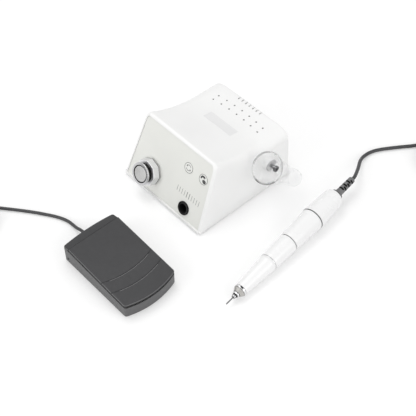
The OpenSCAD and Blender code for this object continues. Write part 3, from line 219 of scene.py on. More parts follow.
def rubbery(name, colour, gloss=0.55):
    """Soft black or grey rubber: dull, with a slight dusty bloom."""
    f = Finish(name)
    bloom = f.noise(220.0, 4.0, 0.65)
    f.colour(f.blend(f.span(bloom, 0, 1), colour, shade(colour, 1.5)))
    f.rough(f.span(f.noise(700.0, 3.0), gloss - 0.07, gloss + 0.1))
    f.bump(f.noise(4200.0, 2.0), 0.000012)
    return f.material


def clear_plastic(name, alpha, tone=1.0):
    """Clear moulding with a slight haze; a tone below one makes darker, denser copies, used as painted
    shade on edges.
    """
    f = Finish(name)
    haze = f.noise(120.0, 3.0)
    cool, white = shade((0.90, 0.91, 0.92), tone), shade((0.97, 0.97, 0.97), tone)
    f.colour(f.blend(f.span(haze, 0, 1), cool, white))
    f.rough(f.span(haze, 0.03, 0.09))
    f.set(Transmission_Weight=0.7, IOR=1.4, Alpha=alpha)
    return f.material


def grained(name, dark, light, gloss):
    """Grey moulding with a pebbled texture, worn a little smoother in patches."""
    f = Finish(name)
    slow = f.noise(18.0, 3.0)
    pebble = f.noise(1500.0, 3.0, 0.55)
    f.colour(f.blend(f.span(slow, 0, 1), dark, light))
    f.rough(f.span(f.noise(240.0, 4.0), gloss - 0.04, gloss + 0.04))
    f.bump(pebble, 0.00002)
    f.set(IOR=1.5, Specular_IOR_Level=0.34)
    return f.material


def wound_copper():
    """Enamelled wire, its turns lying side by side."""
    f = Finish("wound_copper")
    turns = f.wave("BANDS", 0.0007, f.coords, 1.5)
    f.colour(f.blend(turns, (0.24, 0.09, 0.035), (0.56, 0.25, 0.11)))
    f.bump(turns, 0.00015)
    f.set(Metallic=0.9, Roughness=0.36)
    return f.material


def circuit_board():
    """Green lacquered board with squared tracks under the lacquer."""
    f = Finish("circuit_board")
    cells = f.tree.nodes.new("ShaderNodeTexVoronoi")
    cells.distance = "CHEBYCHEV"
    cells.inputs["Scale"].default_value = 260.0
    f.link(f.coords, cells.inputs["Vector"])
    tracks = f.span(cells.outputs["Distance"], 0, 1, 0.2, 0.5)
    f.colour(f.blend(tracks, (0.025, 0.11, 0.05), (0.012, 0.17, 0.07)))
    f.bump(cells.outputs["Distance"], 0.00002)
    f.set(Roughness=0.4)
    return f.material


SHELL = moulded("shell_white", (0.86, 0.86, 0.855), 0.32, depth=0.000002, coat=0.12)
PANEL = moulded("panel_warm_white", (0.765, 0.77, 0.735), 0.42, 3200.0)
KEY = moulded("key_warm_white", (0.78, 0.785, 0.755), 0.38)
HAND_WHITE = moulded("handpiece_white", (0.85, 0.85, 0.85), 0.26, depth=0.000002, coat=0.25)
BLACK = moulded("black_moulding", (0.016, 0.016, 0.017), 0.38, 1900.0, 0.00002, 0.2)
GLOSS_BLACK = moulded("black_gloss", (0.006, 0.006, 0.006), 0.2, 1900.0, 0.000004, 0.2, dull=0.25)
DEEP_BLACK = moulded("black_satin", (0.004, 0.004, 0.004), 0.5, 1900.0, 0.000008, 0.2, dull=0.2)
FAINT_PRINT = moulded("faint_print", (0.25, 0.25, 0.245), 0.5)
PRINT_GREY = moulded("grey_print", (0.2, 0.2, 0.195), 0.5)
PRINT_DARK = moulded("dark_print", (0.05, 0.05, 0.05), 0.5)
PRINT_WHITE = moulded("white_print", (0.8, 0.8, 0.8), 0.5)
PLATE_GREY = moulded("plate_grey", (0.78, 0.78, 0.78), 0.34)
BLUE_SLEEVE = moulded("capacitor_sleeve", (0.03, 0.05, 0.2), 0.3)
PEDAL = grained("pedal_grey_grained", (0.036, 0.036, 0.038), (0.042, 0.042, 0.044), 0.52)
PEDAL_WALL = grained("pedal_wall_grained", (0.098, 0.098, 0.1), (0.115, 0.115, 0.117), 0.46)
# A lighter grained grey as painted highlight on the pedal's rounded edges.
PEDAL_EDGE_HIGHLIGHT = grained("pedal_edge_painted_highlight", (0.12, 0.12, 0.122), (0.16, 0.16, 0.162), 0.4)
# A lighter grey for the beads by the grooves, as painted highlight.
BEAD_HIGHLIGHT_GREY = grained("pedal_bead_painted_highlight", (0.17, 0.17, 0.172), (0.21, 0.21, 0.212), 0.4)
CHROME = metal("nose_chrome", (0.78, 0.78, 0.79), 0.10, (500.0, 500.0, 500.0))
KNOB_CHROME = metal("knob_chrome", (0.6, 0.6, 0.61), 0.12, (500.0, 500.0, 500.0))
SKIRT_METAL = lathe_metal("knob_skirt_metal", (0.80, 0.80, 0.81), 0.4, AT_KNOB, "BANDS", 0.0006)
KNOB_FACE = lathe_metal("knob_face_metal", (0.56, 0.56, 0.555), 0.34, AT_KNOB, "RINGS", 0.0004)
LIGHT_TRIM = metal("light_trim", (0.62, 0.62, 0.625), 0.2)
MID_TRIM = metal("middle_trim", (0.36, 0.36, 0.365), 0.2)
DARK_TRIM = metal("dark_trim", (0.16, 0.16, 0.165), 0.2)
NOSE_METAL = lathe_metal("nose_satin_metal", (0.50, 0.49, 0.47), 0.26, AT_HAND, "BANDS", 0.0003)
STEEL = metal("plain_steel", (0.5, 0.5, 0.51), 0.3)
BIT_STEEL = metal("bit_steel", (0.14, 0.14, 0.14), 0.32)
GILT = metal("gilt", (0.72, 0.51, 0.2), 0.25)
IRON = metal("stacked_iron", (0.13, 0.13, 0.14), 0.5, (40.0, 1400.0, 40.0))
RUBBER = rubbery("black_rubber", (0.022, 0.022, 0.023))
RELIEF = rubbery("relief_rubber", (0.12, 0.12, 0.122), 0.42)
CORD = rubbery("cord_jacket", (0.028, 0.028, 0.030), 0.45)
GREY_RUBBER = rubbery("grey_rubber", (0.12, 0.12, 0.12), 0.65)
CLEAR = clear_plastic("clear_plastic", 0.19)
CLEAR_LIP_SHADE = clear_plastic("clear_plastic_lip_painted_shade", 0.6, 0.4)
CLEAR_TAIL_SHADE = clear_plastic("clear_plastic_tail_painted_shade", 0.3, 0.8)
LIP_LIGHTER_SHADE = clear_plastic("clear_lip_lighter_painted_shade", 0.3, 0.7)
LIP_DARK_SHADE = clear_plastic("clear_lip_dark_painted_shade", 0.85, 0.12)
COPPER = wound_copper()
BOARD = circuit_board()

# Solids that show as they are, most of them inside
PLAIN_NODES = (
    (PANEL, "front_panel"),
    (STEEL, "case_screws potentiometer potentiometer_shaft transformer_strap inlet_pins holder_washer"),
    (STEEL, "spindle_bearings motor_can"),
    (DARK_TRIM, "holder_screw"),
    (MID_TRIM, "collet"),
    (GILT, "socket_contacts"),
    (IRON, "transformer_core"),
    (COPPER, "transformer_coil armature"),
    (BOARD, "control_board power_board"),
    (BLUE_SLEEVE, "main_capacitor"),
    (BLACK, "button_switches carbon_brushes pivot_pin foot_switch switch_plunger"),
)


def paint(obj, material):
    obj.data.materials.clear()
    obj.data.materials.append(material)


for finish, names in PLAIN_NODES:
    for node in names.split():
        paint(nodes[node], finish)


# Work at the bench: selecting, shaping and seating a piece

WELD = 0.000002


def deselect():
    if bpy.context.object and bpy.context.object.mode != "OBJECT":
        bpy.ops.object.mode_set(mode="OBJECT")
    bpy.ops.object.select_all(action="DESELECT")


def take(obj):
    deselect()
    obj.select_set(True)
    bpy.context.view_layer.objects.active = obj
    return obj


def edit():
    bpy.ops.object.mode_set(mode="EDIT")


def leave():
    bpy.ops.object.mode_set(mode="OBJECT")


def pick_faces(obj, test):
    """Goes into edit mode with only the faces selected whose middle, in millimetres, and normal pass."""
    take(obj)
    bpy.context.tool_settings.mesh_select_mode = (False, False, True)
    for group in (obj.data.vertices, obj.data.edges):
        for item in group:
            item.select = False
    for face in obj.data.polygons:
        face.select = test(face.center / MM, face.normal)
    edit()


def modify(obj, kind, **settings):
    modifier = obj.modifiers.new(kind.lower(), kind)
    for key, value in settings.items():
        setattr(modifier, key, value)
    take(obj)
    bpy.ops.object.modifier_apply(modifier=modifier.name)


def break_edges(obj, width, over):
    """Rounds off each edge that turns by more than the given angle."""
    modify(obj, "BEVEL", width=width, segments=2, limit_method="ANGLE", angle_limit=math.radians(over))


def smooth(obj, angle):
    take(obj)
    bpy.ops.object.shade_smooth_by_angle(angle=math.radians(angle))
    modify(obj, "WEIGHTED_NORMAL", keep_sharp=True)


def put(obj, place):
    """Puts a piece in its place and leaves the place in its mesh."""
    take(obj)
    obj.matrix_world = place
    bpy.ops.object.transform_apply(location=True, rotation=True, scale=True)


def tint(obj, material, test):
    """Gives the faces whose middle passes the test another finish."""
    obj.data.materials.append(material)
    for face in obj.data.polygons:
        if test(face.center / MM):
            face.material_index = len(obj.data.materials) - 1


def tint_facing(obj, material, test):
    """Gives the faces whose normal passes the test another finish."""
    obj.data.materials.append(material)
    for face in obj.data.polygons:
        if test(face.normal):
            face.material_index = len(obj.data.materials) - 1


def seat(obj, name, body, slot, *stands_for):
    obj.name = name
    obj.data.name = name
    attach(obj, body)
    if stands_for:
        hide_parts(*stands_for)
    return obj


def skin_of(node, body, slot, material, angle=34, edge=0.0):
    """A welded and smoothly shaded skin on one of the solids, its edges broken by the given width."""
    obj = bpy.data.objects.new(node, nodes[node].data.copy())
    bpy.context.scene.collection.objects.link(obj)
    take(obj)
    edit()
    bpy.ops.mesh.select_all(action="SELECT")
    bpy.ops.mesh.remove_doubles(threshold=WELD)
    if edge:
        bpy.ops.mesh.dissolve_limited(angle_limit=math.radians(1))
    leave()
    if edge:
        break_edges(obj, edge * MM, 40)
    smooth(obj, angle)
    paint(obj, material)
    return seat(obj, node + "_skin", body, slot, node)


def eased(profile):
    """A profile of (radius, height, easing) with each eased corner rounded off."""
    out = []
    for i, corner in enumerate(profile):
        here, ease = Vector(corner[:2]), corner[2] if len(corner) > 2 else 0
        if not ease:
            out.append(here)
            continue
        before, after = Vector(profile[i - 1][:2]) - here, Vector(profile[i + 1][:2]) - here
        start = here + before.normalized() * min(ease, before.length * 0.45)
        stop = here + after.normalized() * min(ease, after.length * 0.45)
        for t in (0, 0.25, 0.5, 0.75, 1):
            out.append((1 - t) ** 2 * start + 2 * t * (1 - t) * here + t * t * stop)
    return out


def turned(profile, sides=96):
    """A piece turned on the lathe about Z from a ring that is drawn out and resized from step to step."""
    rings = eased(profile)
    deselect()
    bpy.ops.mesh.primitive_circle_add(vertices=sides, radius=rings[0].x * MM)
    obj = bpy.context.object
    edit()
    bpy.ops.mesh.select_mode(type="VERT")
    bpy.ops.mesh.select_all(action="SELECT")
    bpy.ops.transform.translate(value=(0, 0, rings[0].y * MM))
    for a, b in zip(rings, rings[1:]):
        bpy.ops.mesh.extrude_region_move(TRANSFORM_OT_translate={"value": (0, 0, (b.y - a.y) * MM)})
        bpy.ops.transform.resize(value=(b.x / a.x, b.x / a.x, 1))
    bpy.ops.mesh.select_all(action="SELECT")
    bpy.ops.mesh.remove_doubles(threshold=WELD)
    bpy.ops.mesh.fill_holes(sides=0)
    bpy.ops.mesh.select_all(action="SELECT")
    bpy.ops.mesh.normals_make_consistent(inside=False)
    leave()
    return obj


def join(first, *others):
    take(first)
    for obj in others:
        obj.select_set(True)
    bpy.ops.object.join()
    return first


# Camera

SENSOR_W, FOCAL_PIXELS, PICTURE_PIXELS = 36.0, 950.0, 416.0
eye = Vector((0.4865, -0.4391, 0.7757))
azimuth, elevation = math.radians(47.6), math.radians(49.3)
back = Vector((math.sin(azimuth) * math.cos(elevation), -math.cos(azimuth) * math.cos(elevation),
               math.sin(elevation)))
right = Vector((math.cos(azimuth), math.sin(azimuth), 0))
up = back.cross(right)
camera_data = bpy.data.cameras.new("camera")
camera_data.sensor_width = SENSOR_W
camera_data.lens = SENSOR_W * FOCAL_PIXELS / PICTURE_PIXELS
camera = bpy.data.objects.new("camera", camera_data)
bpy.context.scene.collection.objects.link(camera)
camera.matrix_world = Matrix((
    (right.x, up.x, back.x, eye.x),
    (right.y, up.y, back.y, eye.y),
    (right.z, up.z, back.z, eye.z),
    (0, 0, 0, 1)))
bpy.context.scene.camera = camera


# Cords: the laid-out stretch, then a flat coil in two layers held by a tie

TURN_GAP = 1.1
TIE_T, TIE_GAP = 1.0, 0.5
STRAIGHT = 1.5


class Coil:
    """A flat coil wound inwards below and outwards above, sizes in millimetres, its start in degrees."""

    def __init__(self, x, y, start, hand, turns, inner, d):
        self.x, self.y, self.start, self.hand = x, y, math.radians(start), hand
        self.turns, self.inner, self.d = turns, inner, d
        self.step = d + TURN_GAP
        self.outer = inner + turns * self.step
        self.low = TIE_T + TIE_GAP + d / 2
        self.end = 2 * math.tau * turns + math.pi

    def heading(self, a):
        at = self.start + self.hand * a
        return Vector((-math.sin(at), math.cos(at), 0)) * self.hand

    def point(self, a):
        layer = math.tau * self.turns
        rise = min(1.0, max(0.0, (a - layer) / math.pi))
        if a < layer:
            r = self.outer - self.step * a / math.tau
        else:
            r = self.inner + self.step * max(0.0, a - layer - math.pi) / math.tau
        at = self.start + self.hand * a
        z = self.low + self.step * (1 - math.cos(math.pi * rise)) / 2
        return Vector((self.x + r * math.cos(at), self.y + r * math.sin(at), z))

    def entry(self):
        return self.point(0) - self.heading(0) * STRAIGHT * self.d

    def tail(self):
        return self.point(self.end) + self.heading(self.end) * STRAIGHT * self.d

    def path(self, per_turn=40):
        count = int(self.end * per_turn / math.tau)
        turns = [self.point(math.tau * i / per_turn) for i in range(count + 1)]
        return [self.entry(), *turns, self.point(self.end), self.tail()]


def softened(points, per_span=4):
    """Points on a smooth curve through the given ones."""
    out = []
    for i in range(len(points) - 1):
        p0, p1 = points[max(i - 1, 0)], points[i]
        p2, p3 = points[i + 1], points[min(i + 2, len(points) - 1)]
        for k in range(per_span):
            t = k / per_span
            out.append(0.5 * (2 * p1 + (p2 - p0) * t + (2 * p0 - 5 * p1 + 4 * p2 - p3) * t * t
                              + (3 * p1 - p0 - 3 * p2 + p3) * t ** 3))
    return out


def cord_run(name, points, d):
    curve = bpy.data.curves.new(name, "CURVE")
    curve.dimensions = "3D"
    curve.bevel_depth = d / 2 * MM
    curve.bevel_resolution = 4
    curve.use_fill_caps = True
    spline = curve.splines.new("POLY")
    spline.points.add(len(points) - 1)
    for target, p in zip(spline.points, points):
        target.co = (p.x * MM, p.y * MM, p.z * MM, 1)
    spline.use_smooth = True
    obj = bpy.data.objects.new(name, curve)
    bpy.context.scene.collection.objects.link(obj)
    paint(obj, CORD)
    return obj


HAND_CORD_D, PEDAL_CORD_D = 4.0, 3.5
hand_dir = AT_HAND.to_3x3() @ Vector((0, 0, 1))
hand_exit = AT_HAND @ Vector((0, 0, RELIEF_END * MM)) / MM
GROMMET_OUT, GROMMET_Z = 8.0, 7.0
pedal_exit = PEDAL_AT + Vector((-GROMMET_OUT, 0, GROMMET_Z))
hand_coil = Coil(x=127.5, y=251.5, start=144, hand=-1, turns=3.45, inner=13.2, d=HAND_CORD_D)
pedal_coil = Coil(x=-158.0, y=-196.5, start=132, hand=1, turns=3.941, inner=11.0, d=PEDAL_CORD_D)
HAND_ROUTE = [
    (76.6, 152.8, 15.4), (73.5, 158.6, 13.4), (69.9, 165, 11.2), (65.7, 171.8, 8.8), (61.5, 178.6, 6.2),
    (58.5, 185.4, 4), (57.1, 192.4, 2.7), (57.3, 199.6, 2.1), (59.3, 206.8, 2.1), (62.8, 213.8, 2.1),
    (67, 220.6, 2.1), (71.4, 227.4, 2.1), (76, 234.2, 2.1), (80.8, 241, 2.1), (85.6, 248, 2.4),
    (90.2, 254.6, 2.8)]
PEDAL_ROUTE = [
    (-75, -112.4, 5), (-80, -112, 3.1), (-85.5, -111.8, 2), (-91, -112.4, 1.9), (-98, -114.6, 1.9),
    (-106, -118.6, 1.9), (-114, -123.6, 1.9), (-122, -129, 1.9), (-130, -134.8, 1.9), (-138, -141, 1.9),
    (-146, -147.4, 1.9), (-154, -154, 2), (-162, -161, 2.4), (-168, -166.4, 2.8)]
HAND_SHAFT_FROM, PEDAL_SHAFT_FROM = 40.9, 36.9


def plug_skin(node, coil, shaft_from):
    """The plug on a coil's tail, metal from the given distance on."""
    obj = skin_of(node, BODY, "black_plastic", BLACK, 36)
    axis = coil.heading(coil.end)
    tint(obj, STEEL, lambda at: (at - coil.tail()).dot(axis) > shaft_from)
    return obj


def tie_skin(name, coil):
    """The tie of one coil, cut from the skin of both."""
    obj = skin_of("cord_ties", BODY, "black_plastic", BLACK, 36)
    pick_faces(obj, lambda at, normal: (at - Vector((coil.x, coil.y, 0))).length > 2 * coil.outer)
    bpy.ops.mesh.delete(type="FACE")
    leave()
    obj.name = name
    obj.data.name = name
    return obj


def laid_cord(name, exit_at, heading, route, coil, replaced):
    stretch = [exit_at, exit_at + heading * coil.d, *[Vector(p) for p in route],
               coil.entry() - coil.heading(0) * coil.d, coil.entry()]
    points = softened(stretch) + coil.path()
    obj = cord_run(name, points, coil.d)
    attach(obj, BODY)
    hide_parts(*replaced)


hand_carried = [plug_skin("handpiece_plug", hand_coil, HAND_SHAFT_FROM),
                tie_skin("handpiece_cord_tie", hand_coil)]
laid_cord("handpiece_cord_run", hand_exit, hand_dir, HAND_ROUTE, hand_coil,
          ("handpiece_cord", "handpiece_cord_coil"))
pedal_carried = [plug_skin("pedal_plug", pedal_coil, PEDAL_SHAFT_FROM),
                 tie_skin("pedal_cord_tie", pedal_coil)]
laid_cord("pedal_cord_run", pedal_exit, Vector((-1, 0, 0)), PEDAL_ROUTE, pedal_coil,
          ("pedal_cord", "pedal_cord_coil"))


# Prints: filled outlines in millimetres, drawn flat and made a thin mesh

def on_circle(r, turn, at=(0, 0)):
    return at[0] + r * math.cos(turn), at[1] + r * math.sin(turn)


def circle(r, at=(0, 0), steps=48):
    return [on_circle(r, math.tau * i / steps, at) for i in range(steps)]


def band(r, w, start, stop, at=(0, 0), steps=28):
    turns = [math.radians(start + (stop - start) * i / steps) for i in range(steps + 1)]
    outer = [on_circle(r + w / 2, a, at) for a in turns]
    inner = [on_circle(r - w / 2, a, at) for a in reversed(turns)]
    return outer + inner


def bar(x, y, w, h):
    return [(x - w / 2, y - h / 2), (x + w / 2, y - h / 2), (x + w / 2, y + h / 2), (x - w / 2, y + h / 2)]


def arrowhead(r, at, length, half):
    tip, foot = math.radians(at + length), math.radians(at)
    return [on_circle(r, tip), on_circle(r - half, foot), on_circle(r + half, foot)]


def printed(name, shapes, place, material, body, slot, thick=0.06, blunt=False):
    curve = bpy.data.curves.new(name, "CURVE")
    curve.dimensions = "2D"
    curve.fill_mode = "BOTH"
    curve.extrude = thick / 2
    for shape in shapes:
        spline = curve.splines.new("POLY")
        spline.points.add(len(shape) - 1)
        for target, (x, y) in zip(spline.points, shape):
            target.co = (x, y, 0, 1)
        spline.use_cyclic_u = True
    flat = bpy.data.objects.new(name, curve)
    bpy.context.scene.collection.objects.link(flat)
    take(flat)
    bpy.ops.object.convert(target="MESH")
    obj = bpy.context.object
    if blunt:
        break_edges(obj, thick / 4, 50)
    put(obj, place @ Matrix.Scale(MM, 4))
    paint(obj, material)
    return seat(obj, name, body, slot)


# Control box

skin_of("housing", BODY, "white_shell", SHELL, 30)
skin_of("base_plate", BODY, "white_shell", SHELL, 30)
skin_of("rubber_feet", BODY, "grey_rubber", GREY_RUBBER)
skin_of("handpiece_socket", BODY, "black_plastic", DEEP_BLACK, 40)
skin_of("direction_button", "direction_key", "white_button", KEY, 40)
skin_of("hand_foot_button", "hand_foot_key", "white_button", KEY, 40)

TICKS, TICK_FROM, TICK_STEP, TICK_S, TICK_H = 10, 14.9, 3.667, 32.0, 6.6
TICK_W, MIDDLE_W, MIDDLE_MORE, MIDDLE_TICKS = 0.55, 0.85, 0.4, (4, 5)
plain_ticks = [bar(TICK_FROM + i * TICK_STEP, TICK_S, TICK_W, TICK_H)
               for i in range(TICKS) if i not in MIDDLE_TICKS]
middle_ticks = [bar(TICK_FROM + i * TICK_STEP, TICK_S, MIDDLE_W, TICK_H + MIDDLE_MORE)
                for i in MIDDLE_TICKS]
printed("scale_ticks", plain_ticks, AT_PANEL, FAINT_PRINT, BODY, "trim_dark")
printed("scale_middle_ticks", middle_ticks, AT_PANEL, PRINT_GREY, BODY, "trim_dark")

turn_key, limb_key = [on_panel(*at, BUTTON_OUT) for at in BUTTONS_AT]
# Dark rings just inside the keys' edges: painted shade for the gap between each key and the panel.
KEY_GAP_SHADE_R, KEY_GAP_SHADE_IN = 5.95, 5.5
for name, place, body in (("turn_key_gap_shade", turn_key, "direction_key"),
                          ("limb_key_gap_shade", limb_key, "hand_foot_key")):
    printed(name, [circle(KEY_GAP_SHADE_R), circle(KEY_GAP_SHADE_IN)], place, PRINT_DARK, body, "trim_dark")
TURN_R, TURN_W, HEAD_L, HEAD_HALF = 3.2, 0.7, 30, 1.2
turn_arcs = [band(TURN_R, TURN_W, 25, 150), band(TURN_R, TURN_W, 205, 330)]
turn_heads = [arrowhead(TURN_R, at, HEAD_L, HEAD_HALF) for at in (142, 322)]
printed("turn_key_arcs", turn_arcs, turn_key, PRINT_GREY, "direction_key", "trim_dark")
printed("turn_key_arrows", turn_heads, turn_key, PRINT_DARK, "direction_key", "trim_dark")
HAND_SIGN = [
    (-4.3, 0.3), (-4.1, 2.0), (-2.9, 3.5), (-1.0, 4.2), (1.0, 4.0), (2.4, 3.0), (2.0, 2.3), (0.7, 2.7),
    (1.6, 1.6), (1.0, 0.9), (-0.4, 1.9), (-1.5, 1.9), (-2.2, 1.1), (-2.7, -0.3), (-3.7, -0.6)]
FOOT_SIGN = [
    (-0.9, -1.0), (0.2, -0.2), (2.0, 0.2), (3.7, -0.4), (4.5, -1.8), (4.0, -3.3), (2.5, -4.2), (0.8, -3.9),
    (-0.4, -2.6)]
printed("limb_key_sign", [HAND_SIGN, FOOT_SIGN], limb_key, PRINT_DARK, "hand_foot_key", "trim_dark")

# Bare plate let into the swept top
PLATE_W, PLATE_D, PLATE_Y, PLATE_T = 42.0, 12.0, 19.7, 0.3
PLATE_SINK, PLATE_RIM, PLATE_DIP, PLATE_ROUND = 0.1, 0.3, 0.12, 0.1
SWEEP_R = ((FRONT_H - REAR_H) ** 2 + SWEEP_RUN ** 2) / (2 * (FRONT_H - REAR_H))


def top_height(y):
    t = y + BOX_D / 2
    return REAR_H + (SWEEP_R - math.sqrt(SWEEP_R ** 2 - (SWEEP_END - t) ** 2) if t < SWEEP_END else 0.0)


deselect()
bpy.ops.mesh.primitive_grid_add(x_subdivisions=42, y_subdivisions=24, size=1.0)
plate = bpy.context.object
for corner in plate.data.vertices:
    x, y = corner.co.x * PLATE_W, corner.co.y * PLATE_D + PLATE_Y
    corner.co = (BOX_AT + Vector((x, y, top_height(y) - PLATE_SINK))) * MM
modify(plate, "SOLIDIFY", thickness=PLATE_T * MM, offset=1.0)


def within_rim(at, normal):
    off = at - BOX_AT
    return normal.z > 0.8 and abs(off.x) < PLATE_W / 2 - 1 and abs(off.y - PLATE_Y) < PLATE_D / 2 - 1


pick_faces(plate, within_rim)
bpy.ops.mesh.inset(thickness=PLATE_RIM * MM, depth=-PLATE_DIP * MM)
leave()
break_edges(plate, PLATE_ROUND * MM, 40)
smooth(plate, 40)
paint(plate, PLATE_GREY)
seat(plate, "top_plate", BODY, "panel")

# Knob: eight-sided skirt with a scored line, black knurled neck and bright disc with a turned face let in
SKIRT_R, SKIRT_FLAT, SKIRT_IN, SKIRT_SIDES, SKIRT_TURN = 16.0, 14.5, 13.0, 8, math.radians(6)
SKIRT_FROM, SKIRT_TOP, SCORE_FROM, SCORE_TO, SCORE_DEEP = 1.0, 10.0, 1.7, 2.4, 0.4
SHAFT_R, SHAFT_FROM, HOLLOW_R, COLUMN_R = 3.05, 5.0, 11.4, 10.5
DISC_FROM, DISC_R, KNOB_L, GROOVE_R = 14.8, 12.7, 16.5, 10.05
FACE_FROM, FACE_R, FACE_RIM, FACE_DIP = 14.6, 8.85, 16.2, 15.8
KNURL_GAP, KNURL_OUT = 0.12, 0.35
POINT_R = 0.05
knob = turned([
    (SHAFT_R, FACE_FROM), (SHAFT_R, SHAFT_FROM), (HOLLOW_R, SHAFT_FROM), (HOLLOW_R, SKIRT_FROM),
    (SKIRT_R, SKIRT_FROM, 0.4), (SKIRT_R, SCORE_FROM), (SKIRT_R - SCORE_DEEP, SCORE_FROM + 0.15),
    (SKIRT_R - SCORE_DEEP, SCORE_TO - 0.2), (SKIRT_R, SCORE_TO), (SKIRT_R - 0.6, SKIRT_TOP, 0.4),
    (COLUMN_R, SKIRT_TOP), (COLUMN_R, DISC_FROM), (DISC_R, DISC_FROM, 0.35), (DISC_R, KNOB_L, 0.5),
    (GROOVE_R, KNOB_L, 0.15), (GROOVE_R, FACE_FROM), (SHAFT_R, FACE_FROM)])
for corner in knob.data.vertices:
    r, turn = corner.co.to_2d().length / MM, math.atan2(corner.co.y, corner.co.x)
    if r > SKIRT_IN and corner.co.z / MM < SKIRT_TOP + 0.01:
        off = (turn - SKIRT_TURN) % (math.tau / SKIRT_SIDES) - math.pi / SKIRT_SIDES
        share = min(1.0, (r - SKIRT_R + SKIRT_FLAT) / math.cos(off) / r)
        corner.co.x *= share
        corner.co.y *= share


def on_column(at):
    return at.to_2d().length < COLUMN_R + 0.1 and SKIRT_TOP < at.z < DISC_FROM


paint(knob, SKIRT_METAL)
tint(knob, KNOB_CHROME, lambda at: at.z > DISC_FROM - 0.05)
# The scored line is painted black: painted shade in the groove low on the skirt.
tint(knob, BLACK, lambda at: SCORE_FROM < at.z < SCORE_TO and at.to_2d().length > SKIRT_IN)
tint(knob, DEEP_BLACK, on_column)
# The groove round the face is painted black as shade.
tint(knob, DEEP_BLACK, lambda at: at.to_2d().length < GROOVE_R + 0.02 and at.z > FACE_FROM - 0.5)
pick_faces(knob, lambda at, normal: on_column(at) and at.to_2d().length > COLUMN_R - 0.1)
bpy.ops.mesh.inset(thickness=KNURL_GAP * MM, depth=KNURL_OUT * MM, use_individual=True)
leave()
smooth(knob, 32)
put(knob, AT_KNOB)
seat(knob, "speed_knob_turned", "knob", "chrome", "speed_knob")

face = turned([(FACE_R, FACE_FROM), (FACE_R, FACE_RIM, 0.3), (6.0, FACE_DIP + 0.15), (2.0, FACE_DIP),
               (POINT_R, FACE_DIP - 0.02)])
paint(face, KNOB_FACE)
# The face's outer wall, in that groove, is painted black as shade.
tint(face, DEEP_BLACK, lambda at: at.to_2d().length > FACE_R - 0.05 and at.z < FACE_DIP)
smooth(face, 30)
put(face, AT_KNOB)
seat(face, "knob_turned_face", "knob", "satin_metal", "knob_cap")

# Rear wall
REAR_EDGE = 0.3
for node, body, finish, edge in (("power_switch", BODY, BLACK, REAR_EDGE),
                                 ("power_rocker", "rocker", GLOSS_BLACK, REAR_EDGE),
                                 ("mains_inlet", BODY, BLACK, REAR_EDGE), ("pedal_jack", BODY, BLACK, 0.0)):
    skin_of(node, body, "black_plastic", finish, 36, edge)

ROCKER_AT, ROCKER_SINK, ROCKER_DIP, ROCKER_REST = (-35.0, -30.0), 4.5, 2.9, math.radians(-10)
ROCKER_SLOPE, MARK_AT = math.atan(1.3 / 8.0), 4.4
at_rocker = AT_REAR @ moved((*ROCKER_AT, -ROCKER_SINK)) @ Matrix.Rotation(ROCKER_REST, 4, "X")
for name, side, shapes in (("rocker_on_mark", -1, [bar(0, 0, 0.7, 3.0)]),
                           ("rocker_off_mark", 1, [circle(1.5), circle(0.95)])):
    lie = moved((0, side * MARK_AT, ROCKER_DIP + MARK_AT * math.tan(ROCKER_SLOPE)))
    place = at_rocker @ lie @ Matrix.Rotation(side * ROCKER_SLOPE, 4, "X")
    printed(name, shapes, place, PRINT_WHITE, "rocker", "white_button")

# Holder on the right side, its lip and tail end painted darker and denser as shade, with lighter and darker
# painted shade in arcs round the lip
LIP_W, LIP_R, TAIL_RIM = 2.3, 16.0, 1.5
# Turns in degrees of the arcs where the lip's painted shade is lighter and where it is darker.
LIGHTER_SHADE_AT, LIGHTER_SHADE_HALF, DARK_SHADE_AT, DARK_SHADE_HALF = (220, -3), 22, (-64,), 40
holder = skin_of("handpiece_holder", "holder", "clear", CLEAR, 36)
holder_back = AT_HOLDER.inverted()


def in_holder(at):
    return holder_back @ (at * MM) / MM


def on_lip(at):
    here = in_holder(at)
    return here.z > MOUTH_L - LIP_W and here.to_2d().length > LIP_R


def on_arc(at, middles, half):
    """On the lip and within half of one of the given turns, in degrees."""
    here = in_holder(at)
    turn = math.degrees(math.atan2(here.y, here.x))
    return on_lip(at) and min(abs((turn - m + 180) % 360 - 180) for m in middles) < half


# The lip is painted as darker, denser plastic: painted shade for the dark line that bent light draws round
# a clear rim.
tint(holder, CLEAR_LIP_SHADE, on_lip)
# The tail end is painted darker too: painted shade for its grey outline.
tint(holder, CLEAR_TAIL_SHADE, lambda at: in_holder(at).z < TAIL_RIM - TAIL_L)
# One arc of the lip gets lighter painted shade and another darker painted shade, standing in for light bent
# unevenly round the rim.
tint(holder, LIP_LIGHTER_SHADE, lambda at: on_arc(at, LIGHTER_SHADE_AT, LIGHTER_SHADE_HALF))
tint(holder, LIP_DARK_SHADE, lambda at: on_arc(at, DARK_SHADE_AT, DARK_SHADE_HALF))
FLARE_FROM, FLARE = -8.0, 0.3
for corner in holder.data.vertices:
    here = holder_back @ corner.co
    wider = 1 + FLARE * min(1.0, max(0.0, (FLARE_FROM - here.z / MM) / (TAIL_L + FLARE_FROM)))
    corner.co = AT_HOLDER @ Vector((here.x * wider, here.y * wider, here.z))


# Handpiece

for node, body in (("nose_cone", BODY), ("chuck_ring", "chuck"), ("middle_body", BODY), ("rear_cap", BODY)):
    skin_of(node, body, "white_shell", HAND_WHITE, 32)
relief = skin_of("strain_relief", BODY, "black_rubber", RELIEF, 32)
hand_back = AT_HAND.inverted()
SLOTS_FROM, SLOTS_TO, SLOT_R = HAND_END + 9.0, HAND_END + 27.5, 3.6
FIRST_SLOT, SLOTS, SLOT_STEP, SLOT_W, SLOT_EASE = HAND_END + 10.25, 6, 3.0, 1.5, 0.4


def in_hand(at):
    return hand_back @ (at * MM) / MM


